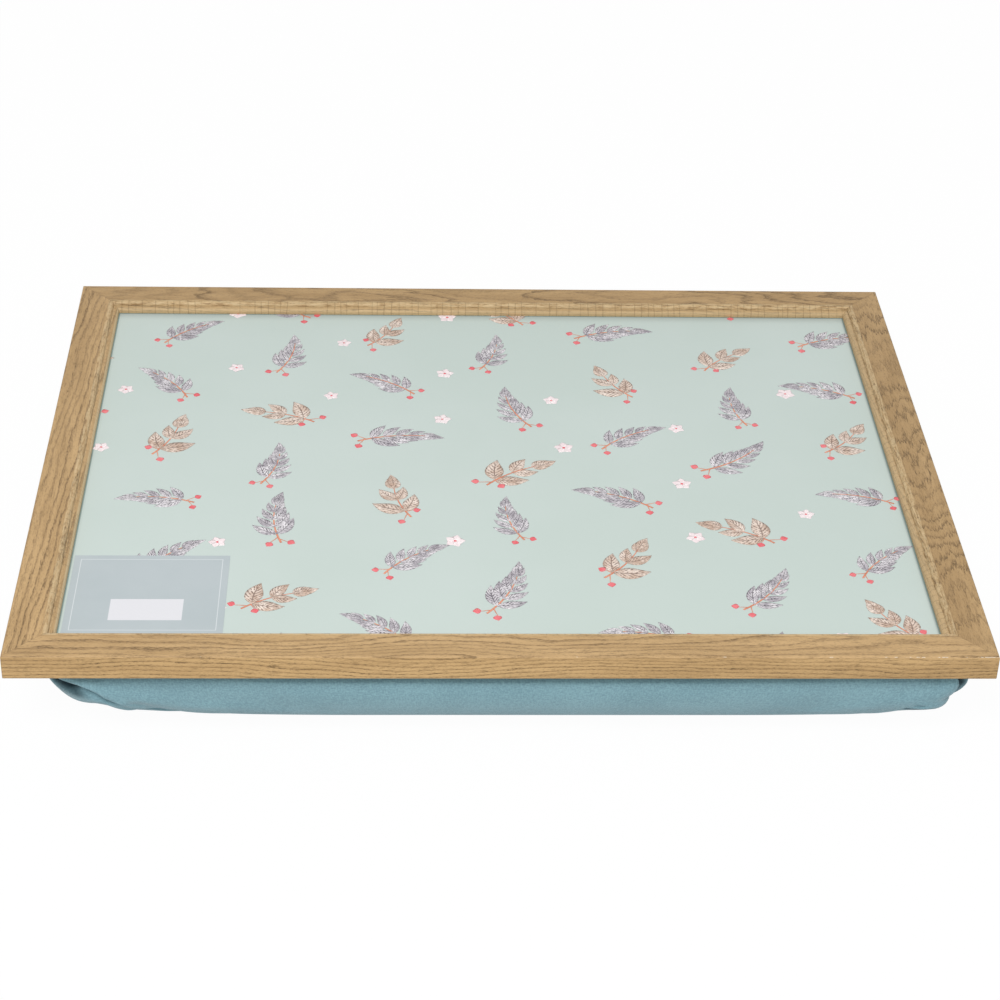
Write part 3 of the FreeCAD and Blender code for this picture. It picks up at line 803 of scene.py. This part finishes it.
nearest = np.min(np.abs(beyond_corner(round_coarse)), axis=0)
wanted = np.interp(nearest, STEP_CHANGE, [FINE_STEP, PLAIN_STEP])
count_to = np.r_[0, np.cumsum(np.diff(round_coarse) / ((wanted[1:] + wanted[:-1]) / 2))]
column_places = np.interp(np.linspace(0, count_to[-1], int(count_to[-1]), endpoint=False), count_to,
                          np.arange(columns + 1))
starts, ends = list(ROWS_BETWEEN), [*list(ROWS_BETWEEN)[1:], rows - 1]
row_places = np.concatenate([np.arange((end - start) * ROWS_BETWEEN[start]) / ROWS_BETWEEN[start] + start
                             for start, end in zip(starts, ends)] + [[rows - 1]])

fine = points_between(swelled, row_places, around=False)
fine = points_between(fine.swapaxes(0, 1), column_places, around=True).swapaxes(0, 1)
round_fine = np.interp(column_places, np.arange(columns + 1), round_coarse)
from_corner = beyond_corner(round_fine)
step_down = np.linalg.norm(np.diff(fine, axis=0), axis=2)
down = np.vstack([np.zeros((1, fine.shape[1])), np.cumsum(step_down, axis=0)])
print("fine grid", fine.shape[:2], f"girth {girth:.3f} m, depth of cloth {down[:, 0].max() / MM:.0f} mm")

# %% [markdown]
# Cloth that goes round a corner is too long for it, so it folds. Each fold here is a
# line on the map with a raised lip on one side and a valley on the other; dents and
# swells are soft spots. Two corners are tucked, with the front lapped over the side,
# and two are eared, with a tail of cloth that sticks out past a deep pocket. Small
# gathers run down from the rim at every corner. Painted shade is marked on the same map,
# in the crevices and beside them.

# %% Cushion: lines and spots on the map
# Gathers: their height, how far down and round they reach, and the pitches of their waves, in millimetres.
GATHER_HEIGHT, GATHER_DOWN, GATHER_ROUND, GATHER_PITCHES = 0.25, 13, 34, (7.0, 11.0, 17.0)


def fold(around, path, lip=0.0, valley=0.0, lip_width=2.0, valley_width=2.0, step=0.7, fades=(0.2, 0.4)):
    """Heights of one fold in millimetres. The path is points on the map in millimetres. On its left the cloth
    stands up as a lip, on its right it sinks to a valley, with a steep smooth step between, and both fade out
    towards the path's ends."""
    path = np.array(path, float)
    run = np.diff(path, axis=0)
    length = np.linalg.norm(run, axis=1)
    offset = np.stack([around, down / MM], axis=-1)[..., None, :] - path[:-1]
    part = np.clip((offset * run).sum(-1) / length**2, 0, 1)
    apart = np.linalg.norm(offset - part[..., None] * run, axis=-1)
    best = apart.argmin(axis=-1)[..., None]
    side = np.sign(offset[..., 1] * run[:, 0] - offset[..., 0] * run[:, 1])
    aside = np.take_along_axis(apart * side, best, axis=-1)[..., 0]
    along = np.r_[0, np.cumsum(length)[:-1]] + part * length
    along = np.take_along_axis(along, best, axis=-1)[..., 0] / length.sum()
    fade = np.clip(along / fades[0], 0, 1) * np.clip((1 - along) / fades[1], 0, 1)
    fade = fade * fade * (3 - 2 * fade)
    left = 0.5 * (1 + np.tanh(aside / step))
    return fade * (left * lip * np.exp(-((aside / lip_width) ** 2))
                   - (1 - left) * valley * np.exp(-((aside / valley_width) ** 2)))


def swellings(around, *spots):
    """Soft round swells, or dents where the height is negative. A spot is its place on the map, how far it
    spreads round and down, and its height, in millimetres."""
    return sum(height * np.exp(-(((around - x) / wide) ** 2) - ((down / MM - y) / deep) ** 2)
               for x, y, wide, deep, height in spots)


def gathers(around, seed):
    """Small pleats under the rim: waves round the corner that die away downwards and along the sides."""
    generator = np.random.default_rng(seed)
    wave = sum(np.cos(2 * np.pi * around / pitch + generator.uniform(0, 6.28)) for pitch in GATHER_PITCHES)
    return GATHER_HEIGHT * wave * np.exp(-((down / MM / GATHER_DOWN) ** 2) - (around / GATHER_ROUND) ** 2)


def crevice(around, path, depth, width, painted_shade_width, fades, painted_shade_strength=0.85):
    """A deep narrow fold and its painted shade, 0 to 1: two valleys on one path, each of its own width."""
    valleys = ((depth, width), (painted_shade_strength, painted_shade_width))
    height, dark = (fold(around, path, valley=deep, valley_width=wide, step=0.5, fades=fades)
                    for deep, wide in valleys)
    return np.stack([height, -dark])


# %% Cushion: corners
def tucked_corner(around):
    """The front lapped over the side: a curved lip, a deep crevice under its upper end, a roll below it."""
    lip = [(28.2, 38), (28.2, 31.7), (27.8, 26.4), (24.4, 23.0), (21.7, 19.0), (17.7, 16.3), (13.1, 13.9),
           (6.5, 12.5), (-1, 11.6)]
    mouth = [(15.5, 18.6), (12, 16.6), (9.7, 15.4), (6.8, 14.2), (4.5, 13.6), (1.3, 13.4), (-5, 14.4)]
    bottom = [(-9, 16.2), (-3, 17.4), (0, 17.8), (3, 18.1), (6, 18.6), (9, 19.2), (13, 20)]
    height = swellings(around, (12, 41, 7, 9, -2.6), (24, 54, 10, 10, -2.4), (-3, 24, 6, 5, -0.3),
                       (16, 31.5, 4, 3.5, -1.5), (23, 42, 5, 6, 1.0), (36, 45, 7, 8, -1.4))
    height += fold(around, lip, lip=1.6, valley=3.6, lip_width=4.0, valley_width=4.2, step=0.5,
                   fades=(0.35, 0.06))
    # Painted shade: the valley under the lip and the side cloth beside the crevice are darkened.
    dark = swellings(around, (11, 20.8, 4.5, 2.4, 0.65), (3, 21.5, 4, 3, 0.3))
    dark -= fold(around, bottom, valley=0.8, valley_width=3.8, step=1.5, fades=(0.3, 0.4))
    return (np.stack([height, dark])
            + crevice(around, mouth, depth=6.0, width=3.3, painted_shade_width=4.0, fades=(0.45, 0.15)))


def eared_corner(around):
    """A full corner: a deep pocket, a tail of cloth beyond it, a lobe below, and a tuck under the lobe."""
    pocket = [(0.1, 8), (0.4, 14.8), (0.3, 17.5), (0.1, 20.2), (-0.3, 22.6), (-0.3, 25)]
    tuck = [(-4, 30), (-7.2, 31.2), (-9.2, 32.4), (-12.9, 32.2), (-17, 31.8)]
    crease = [(-8, 28.8), (-9.5, 28.4), (-12.8, 27.9), (-15, 29.4)]
    height = swellings(around, (5.5, 14.8, 8, 7, 4.6), (-1.5, 30.5, 7, 5, 1.8), (2.5, 25.5, 6, 2.2, -1.6),
                       (-8.5, 47, 8, 9, -1.5))
    height += fold(around, tuck, lip=0.8, lip_width=2.0, step=0.5, fades=(0.3, 0.35))
    height += fold(around, crease, lip=0.7, valley=1.0, lip_width=1.5, valley_width=1.6)
    # Painted shade under the lobe's tuck and at the top of the pocket.
    dark = swellings(around, (-9, 35.7, 5, 2.0, 0.3), (1.8, 14.5, 1.2, 2.4, 0.45))
    return (np.stack([height, dark])
            + crevice(around, pocket, depth=4.5, width=1.5, painted_shade_width=2.1, fades=(0.03, 0.4))
            + crevice(around, tuck, depth=2.6, width=1.8, painted_shade_width=3.0, fades=(0.2, 0.3), painted_shade_strength=0.4))


# Each corner's painted shade is summed into one map, which darkens the cloth's colour.
RIM_EASE, MOST_PAINTED_SHADE = 5 * MM, 0.92
raised, painted_fold_shade = np.zeros((2, *fine.shape[:2]))
for number, (around, corner) in enumerate(zip(from_corner, [eared_corner, tucked_corner] * 2)):
    around = np.broadcast_to(around / MM, raised.shape)
    height, dark = corner(around)
    raised += gathers(around, number) + height
    painted_fold_shade += dark
raised *= np.clip(down / RIM_EASE, 0, 1)
painted_fold_shade = np.clip(painted_fold_shade, 0, MOST_PAINTED_SHADE)
sculpted = fine + unit_normals(fine) * (raised * MM)[..., None]
sculpted[..., 2] = np.clip(sculpted[..., 2], 0.0, rim_level)
print(f"folds from {raised.min():.1f} to {raised.max():.1f} mm, {(painted_fold_shade > 0.5).mean():.2%} dark")

# %% [markdown]
# The cover is a plain-woven polyester in a greyed teal. Threads show only close up;
# from a step away it is a soft, slightly uneven blue-green with a faint sheen. Its
# colour is painted nearly black as shade in the deep folds.

# %% Cushion cloth
THREAD = 0.42 * MM
TEAL, TEAL_DEEP = colour(131, 166, 175), colour(106, 139, 149)
BETWEEN_THREADS, PAINTED_CREVICE_SHADE = colour(70, 96, 104), colour(6, 30, 38)

cover_cloth, tree, shader = new_finish("teal_cloth")
cloth_place = tree.place("UV")
threads = tree.group(plain_weave, {"Vector": cloth_place, "Pitch": THREAD})
cloud = mottled(tree, cloth_place, 24.0, 1100.0)
uneven = tree.plus(tree.times(cloud["Slow"], 0.12), tree.times(cloud["Fine"], 0.22))
shade = tree.plus(tree.times(threads["Slub"], 0.9), uneven)
gap = tree.minus(1.0, threads["Height"])
base = tree.mix(tree.rise(shade, 0.38, 0.86), TEAL_DEEP, TEAL)
base = tree.tint(base, BETWEEN_THREADS, gap, 0.22)
# Painted shade: the cloth turns nearly black where the map of painted shade is high.
base = tree.mix(tree.add("Attribute", attribute_name="crevice").outputs["Fac"], base, PAINTED_CREVICE_SHADE)
thread_height = tree.plus(threads["Height"], tree.times(cloud["Fine"], 0.6))
tree.fill(shader.inputs, {
    "Base Color": base, "Roughness": tree.line(0.78, 0.15, gap), "Specular IOR Level": 0.2,
    "Normal": tree.bump(thread_height, 0.09 * MM, 0.5), "Sheen Weight": 0.3, "Sheen Roughness": 0.4})

# %% Cushion bag
fine_rows, fine_columns = sculpted.shape[:2]
index = np.arange(fine_rows * fine_columns).reshape(fine_rows, fine_columns)
cushion_faces = [*grid_faces(fine_rows, fine_columns, around=True), index[0], index[-1][::-1]]
cloth_map = np.stack([np.broadcast_to(round_fine, raised.shape), down], axis=-1).reshape(-1, 2)
cushion = new_piece("cushion_bag", sculpted.reshape(-1, 3), cushion_faces, [cover_cloth], uv=cloth_map)
painted_shade_layer = cushion.data.attributes.new("crevice", "FLOAT", "POINT")
painted_shade_layer.data.foreach_set("value", painted_fold_shade.astype(np.float32).ravel())
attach(cushion, "root")
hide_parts("cushion_cover", "bead_filling")
print("cushion", len(cushion.data.polygons), "faces")

# %% [markdown]
# The cover's edge is turned over into a hem, a flat strip between the bag and the
# frame's underside, with one row of stitches. A strip is a profile carried round the
# plan: its outer edge is a fold, so the profile is rounded there.

# %% Hem
HEM_INNER, HEM_CORNER = 17.0 * MM, 6.0 * MM
HEM_UNDER, HEM_OVER, BEND_POINTS = 46.3 * MM, 47.05 * MM, 7
fold_radius = (HEM_OVER - HEM_UNDER) / 2
bend = np.linspace(QUARTER, -QUARTER, BEND_POINTS)
hem_profile = np.r_[HEM_INNER, hem_inset + fold_radius * (1 - np.cos(bend)), HEM_INNER]
hem_height = np.r_[HEM_OVER, (HEM_UNDER + HEM_OVER) / 2 + fold_radius * np.sin(bend), HEM_UNDER]
count = len(hem_profile)
plan = rounded_plan(np.c_[hem_profile, hem_profile], np.full((count, 4), HEM_CORNER), np.zeros(count))
hem_faces = grid_faces(count + 1, plan.shape[1], around=True) % (count * plan.shape[1])
hem_round = lengths_round(plan[0])[0][:-1]
hem_map = np.stack(np.broadcast_arrays(hem_round, hem_profile[:, None]), axis=-1).reshape(-1, 2)
hem_points = at_heights(plan, hem_height).reshape(-1, 3)
hem = new_piece("cushion_hem", hem_points, hem_faces, [cover_cloth], uv=hem_map)
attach(hem, "root")
print("hem", len(hem.data.polygons), "faces")

# %% Stitches in the hem
STITCH_PITCH, STITCH_LENGTH, STITCH_INSET, STITCH_SINK = 3.4 * MM, 2.5 * MM, 13.6 * MM, 0.05 * MM
STITCH_WIDE, STITCH_HIGH, STITCH_STEPS, STITCH_SIDES = 0.26 * MM, 0.2 * MM, 7, 6
# A stitch heads for the point this far on, and its ends are cut off at this part of its half length.
STITCH_AHEAD, STITCH_END = 0.4 * MM, 0.97


def stitch_row(inset, radius, level):
    """Stitches evenly spaced round the hem: each is a spindle, its width a half circle along its length."""
    loop = rounded_plan([inset, inset], np.full((1, 4), radius), np.zeros(1))[0]
    length, girth = lengths_round(loop)
    number = int(girth / STITCH_PITCH)
    at = np.arange(number) * girth / number
    closed = np.vstack([loop, loop[:1]])
    place, ahead = (np.stack([np.interp((at + more) % girth, length, closed[:, k]) for k in (0, 1)], axis=-1)
                    for more in (0, STITCH_AHEAD))
    heading = (ahead - place) / np.linalg.norm(ahead - place, axis=1, keepdims=True)
    sideways = np.stack([-heading[:, 1], heading[:, 0]], axis=-1)
    run = np.linspace(-STITCH_END, STITCH_END, STITCH_STEPS)[:, None]
    angle = np.linspace(0, 2 * np.pi, STITCH_SIDES, endpoint=False)
    thick = np.sqrt(1 - run**2)
    forward = np.broadcast_to(run * STITCH_LENGTH / 2, (STITCH_STEPS, STITCH_SIDES))
    aside, up = STITCH_WIDE * thick * np.cos(angle), STITCH_HIGH * thick * np.sin(angle)
    flat = (place[:, None, None] + heading[:, None, None] * forward[..., None]
            + sideways[:, None, None] * aside[..., None])
    heights = np.broadcast_to((level + up)[None, ..., None], (*flat.shape[:3], 1))
    points = np.concatenate([flat, heights], axis=3)
    one = np.arange(STITCH_STEPS * STITCH_SIDES).reshape(STITCH_STEPS, STITCH_SIDES)
    sides = grid_faces(STITCH_STEPS, STITCH_SIDES, around=True)[:, ::-1]
    start = (np.arange(number) * one.size)[:, None, None]
    faces = [*(start + sides).reshape(-1, 4), *(start[:, :, 0] + one[0][::-1]), *(start[:, :, 0] + one[-1])]
    return points.reshape(-1, 3), faces


thread_colours = colour(108, 142, 152), colour(128, 162, 171)
thread = speckled("sewing_thread", (300.0, 4000.0), "Slow", thread_colours, 0.8, bump=(0.05 * MM, 0.6))
stitches = new_piece("hem_stitches", *stitch_row(STITCH_INSET, HEM_CORNER, HEM_UNDER - STITCH_SINK), [thread])
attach(stitches, "root")
print("stitches", len(stitches.data.polygons), "faces")

# %% [markdown]
# The print is a plain botanical one: small sprigs in grey and in brown, with coral
# berries, orange stems and pale blossoms. All of it is made of one shape, a leaf: a
# bent centre line with a width that swells and closes. A stem is a leaf of nearly even
# width, a petal a short wide one. A sprig is a list of leaves, and the print repeats
# it with its own turn, size and hand in every place.

# %% Print: leaves as arrays
ALONG, ACROSS = 11, 5
# How near its ends a leaf's width may close, and how near its foot it is fullest.
LEAF_ENDS, LEAF_FULLNESS = (0.012, 0.988), 0.8
GREY, BROWN, STEM, BERRY, PETAL = range(5)
# Where on the stem the first and last pair of leaves stand, how far they lean out, and the tip leaf's size.
PAIR_PLACES, PAIR_LEANS, TIP_SIZE = (0.22, 0.93), (1.0, 0.5), 0.55
# Thickness of a sprig's stem and a berry's, and length and width of a berry and a petal, in millimetres.
STEM_WIDE, BERRY_STEM_WIDE, BERRY_SIZE, PETAL_SIZE, PETALS = 0.9, 0.5, (3.3, 3.4), (4.2, 4.0), 5


def leaf_surfaces(start, heading, length, width, bend, even):
    """Leaves on the flat, one for each entry of the arrays. The centre line is an arc, and the half width a
    sine of the length, or nearly even where `even` is 1."""
    run, aside = np.linspace(0, 1, ALONG)[:, None], np.linspace(-1, 1, ACROSS)
    heading, length, width, bend, even = (
        np.reshape(v, (-1, 1, 1)) for v in (heading, length, width, bend, even))
    chord, tangent = heading + bend * run / 2, heading + bend * run
    swell = np.sin(np.pi * np.clip(run, *LEAF_ENDS) ** LEAF_FULLNESS)
    half = width / 2 * (swell + even * (np.maximum(1 - 0.6 * run, 0.2) - swell))
    x = start[:, 0, None, None] + length * run * np.cos(chord) - np.sin(tangent) * half * aside
    y = start[:, 1, None, None] + length * run * np.sin(chord) + np.cos(tangent) * half * aside
    return np.stack([x, y], axis=-1)


def sprig_leaves(pairs, stem_length, stem_bend, longest, slim, tint):
    """A sprig's leaves in millimetres, stem along X. A leaf is its start x and y, heading, length, width,
    bend, even and tint. Leaves stand in pairs along the stem, shorter and closer to it towards the tip."""
    at = np.linspace(*PAIR_PLACES, pairs)
    chord, tangent = stem_bend * at / 2, stem_bend * at
    start = np.stack([stem_length * at * np.cos(chord), stem_length * at * np.sin(chord)], axis=-1)
    rows = [[0, 0, 0, stem_length, STEM_WIDE, stem_bend, 1, STEM]]
    for hand in (1, -1):
        heading = tangent + hand * np.linspace(*PAIR_LEANS, pairs)
        length = longest * (1.0 - 0.55 * at) * (0.9 if hand < 0 else 1.0)
        rows += np.c_[start, heading, length, length * slim, np.full(pairs, -0.5 * hand), np.zeros(pairs),
                      np.full(pairs, tint)].tolist()
    tip = [stem_length * np.cos(stem_bend / 2), stem_length * np.sin(stem_bend / 2)]
    rows.append([*tip, stem_bend, longest * TIP_SIZE, longest * TIP_SIZE * slim, 0.2, 0, tint])
    return np.array(rows)


def berry_leaves(stem_length, places):
    """Berries on short stems: a berry is a leaf as wide as it is long."""
    rows = []
    for at, heading, reach in places:
        foot = np.array([stem_length * at, 0.0])
        top = foot + reach * np.array([np.cos(heading), np.sin(heading)])
        rows += [[*foot, heading, reach, BERRY_STEM_WIDE, 0.2, 1, STEM],
                 [*top, heading, *BERRY_SIZE, 0, 0, BERRY]]
    return np.array(rows)


def blossom_leaves():
    """Petals round a middle."""
    turn = np.arange(PETALS) * 2 * np.pi / PETALS
    petals = np.c_[0.5 * np.cos(turn), 0.5 * np.sin(turn), turn, np.tile(PETAL_SIZE, (PETALS, 1)),
                   np.zeros((PETALS, 2)), np.full(PETALS, PETAL)]
    return np.vstack([petals, [[-0.8, 0, 0, 1.6, 1.5, 0, 0, BERRY]]])


def repeat_motif(leaves, places, turns, sizes, hands):
    """A motif's leaves in every place: turned, sized, and mirrored where the hand is -1."""
    places, turns, sizes, hands = (np.asarray(v, float) for v in (places, turns, sizes, hands))
    mirror = np.stack([np.ones_like(hands), hands], axis=-1)[:, None]
    flat = leaves[None, :, :2] * sizes[:, None, None] * mirror
    c, s = np.cos(turns)[:, None], np.sin(turns)[:, None]
    start = np.stack([flat[..., 0] * c - flat[..., 1] * s, flat[..., 0] * s + flat[..., 1] * c], axis=-1)
    out = np.broadcast_to(leaves, (len(places), *leaves.shape)).copy()
    out[..., :2] = start + places[:, None]
    out[..., 2] = leaves[:, 2] * hands[:, None] + turns[:, None]
    out[..., 3:5] *= sizes[:, None, None]
    out[..., 5] *= hands[:, None]
    return out.reshape(-1, leaves.shape[1])


# %% Print: layout
COLUMN_PITCH, ROW_PITCH, PRINT_START = 57.0, 54.0, (9, -6)
# How far a sprig's foot lies from its place, and the share of the gaps that hold a blossom.
SPRIG_MIDDLE, FLOWERING = 15, 0.62
layout = np.random.default_rng(11)
column, row = (v.ravel() for v in np.meshgrid(np.arange(-4, 5), np.arange(-3, 4), indexing="ij"))


def brick_places(across, up):
    """Places of a brick lattice in millimetres, moved by parts of a pitch across and up."""
    return np.c_[(column + across) * COLUMN_PITCH + PRINT_START[0],
                 (row + 0.5 * (column % 2) + up) * ROW_PITCH + PRINT_START[1]]


lattice = brick_places(0, 0)
lattice += layout.uniform(-4, 4, lattice.shape)
turns = np.where(row % 2 == 0, 0.75, 2.35) + layout.uniform(-0.45, 0.45, len(row))
hands = np.where((row + column) % 2 == 0, 1.0, -1.0)
sizes = layout.uniform(1.04, 1.22, len(row))
feet = lattice - np.c_[np.cos(turns), np.sin(turns)] * SPRIG_MIDDLE * sizes[:, None]
brown = (row + 2 * column) % 3 == 0

grey_sprig = np.vstack([sprig_leaves(5, 29, 0.55, 15.0, 0.40, GREY),
                        berry_leaves(29, [(0.1, 2.4, 4), (0.14, -2.2, 4.4)])])
brown_sprig = np.vstack([sprig_leaves(3, 25, -0.5, 17.0, 0.52, BROWN),
                         berry_leaves(25, [(0.12, 2.2, 5), (0.2, -1.9, 3.6)])])
gaps = brick_places(0.5, 0.28)
gaps += layout.uniform(-5, 5, gaps.shape)
gaps = gaps[layout.uniform(0, 1, len(gaps)) < FLOWERING]
all_leaves = np.vstack([
    *(repeat_motif(sprig, feet[some], turns[some], sizes[some], hands[some])
      for sprig, some in ((grey_sprig, ~brown), (brown_sprig, brown))),
    repeat_motif(blossom_leaves(), gaps, layout.uniform(0, 6, len(gaps)),
                 layout.uniform(0.85, 1.1, len(gaps)), np.ones(len(gaps))),
])
print(len(all_leaves), "printed leaves,", len(lattice), "sprig places")

# %% [markdown]
# Watercolour ink pools at the edges of a stroke and streaks along the brush. Each
# ink has a pale, a middle and a dark tone, mixed by veins from the leaf's own map and
# by blots from the place on the tray.

# %% Print: inks
# Brush strokes: how close they are, how they slant and how ragged they are. Pooling: how dark edges get.
STROKES, STROKE_SLANT, STROKE_RAGGED, POOLING = 46.0, -0.55, 1.6, 0.6


def brushed_ink(name, pale, middle, dark, veins):
    """Ink on a map whose first axis runs along the leaf and whose second runs across it."""
    material, tree, shader = new_finish(name)
    axes = tree.axes(tree.place("UV"))
    off = tree.maths("ABSOLUTE", tree.minus(axes["Y"], 0.5))
    blot = mottled(tree, tree.place(), 210.0, 900.0)
    slant = tree.plus(axes["X"], tree.times(off, STROKE_SLANT))
    strokes = tree.maths("SINE", tree.times(slant, STROKES))
    strokes = tree.rise(tree.plus(strokes, tree.times(blot["Fine"], STROKE_RAGGED)), 0.9, 2.0)
    rib = tree.rise(off, 0.05, 0.015)
    lines = tree.times(tree.maths("MAXIMUM", strokes, rib), veins)
    pooled = tree.times(tree.times(tree.rise(off, 0.36, 0.5), POOLING), blot["Fine"])
    tone = tree.mix(tree.maths("MAXIMUM", lines, pooled), tree.mix(blot["Slow"], pale, middle), dark)
    tree.fill(shader.inputs, {"Base Color": tone, "Roughness": tree.line(0.42, 0.1, blot["Fine"]),
                              "Specular IOR Level": 0.35})
    return material


# Each ink's pale, middle and dark tone, and how strong its veins are.
INKS = {
    "grey_leaf_ink": ((232, 228, 231), (172, 166, 173), (70, 65, 73), 0.9),
    "brown_leaf_ink": ((235, 220, 208), (194, 168, 150), (110, 86, 76), 0.85),
    "stem_ink": ((222, 150, 122), (206, 128, 100), (160, 96, 80), 0.2),
    "berry_ink": ((232, 128, 132), (222, 96, 104), (188, 66, 78), 0.15),
    "petal_ink": ((244, 234, 234), (238, 222, 224), (216, 190, 196), 0.35),
}
inks = [brushed_ink(name, *(colour(*tone) for tone in tones), veins)
        for name, (*tones, veins) in INKS.items()]
print("inks", *INKS)

# %% Print: mesh
INK_LIFT, INK_DEPTH, INK_MARGIN = 0.06 * MM, 0.05 * MM, 0.15 * MM
# Later leaves lie a hair higher, so that overlapping ink has one clear top.
LAYERS, LAYER_STEP = 13, 0.002 * MM


def clipped(piece, across, deep):
    """Cut a flat piece off at a rectangle, keeping its map and finishes."""
    work = bmesh.new()
    work.from_mesh(piece.data)
    for normal, reach in (((1, 0, 0), across), ((-1, 0, 0), across), ((0, 1, 0), deep), ((0, -1, 0), deep)):
        bmesh.ops.bisect_plane(work, geom=[*work.verts, *work.edges, *work.faces], dist=1e-7,
                               plane_co=Vector(normal) * reach, plane_no=normal, clear_outer=True)
    work.to_mesh(piece.data)
    work.free()


flat = leaf_surfaces(all_leaves[:, :2] * MM, all_leaves[:, 2], all_leaves[:, 3] * MM, all_leaves[:, 4] * MM,
                     all_leaves[:, 5], all_leaves[:, 6]).reshape(-1, 2)
lift = np.repeat(np.arange(len(all_leaves)) % LAYERS, ALONG * ACROSS) * LAYER_STEP
ink_points = np.c_[flat, panel_level + INK_LIFT + lift]
one_leaf = grid_faces(ALONG, ACROSS)
ink_faces = (np.arange(len(all_leaves))[:, None, None] * ALONG * ACROSS + one_leaf).reshape(-1, 4)
leaf_map = np.stack(np.meshgrid(np.linspace(0, 1, ALONG), np.linspace(0, 1, ACROSS), indexing="ij"), axis=-1)
ink_map = np.tile(leaf_map.reshape(-1, 2), (len(all_leaves), 1))
ink_tint = np.repeat(all_leaves[:, 7].astype(int), len(one_leaf))
printed = new_piece("printed_sprigs", ink_points, ink_faces, inks, uv=ink_map, finish_of=ink_tint)
clipped(printed, lip_reach[0] - INK_MARGIN, lip_reach[1] - INK_MARGIN)
depth = printed.modifiers.new("ink depth", "SOLIDIFY")
depth.thickness, depth.offset = INK_DEPTH, -1.0
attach(printed, "root")
print("print", len(printed.data.polygons), "faces")
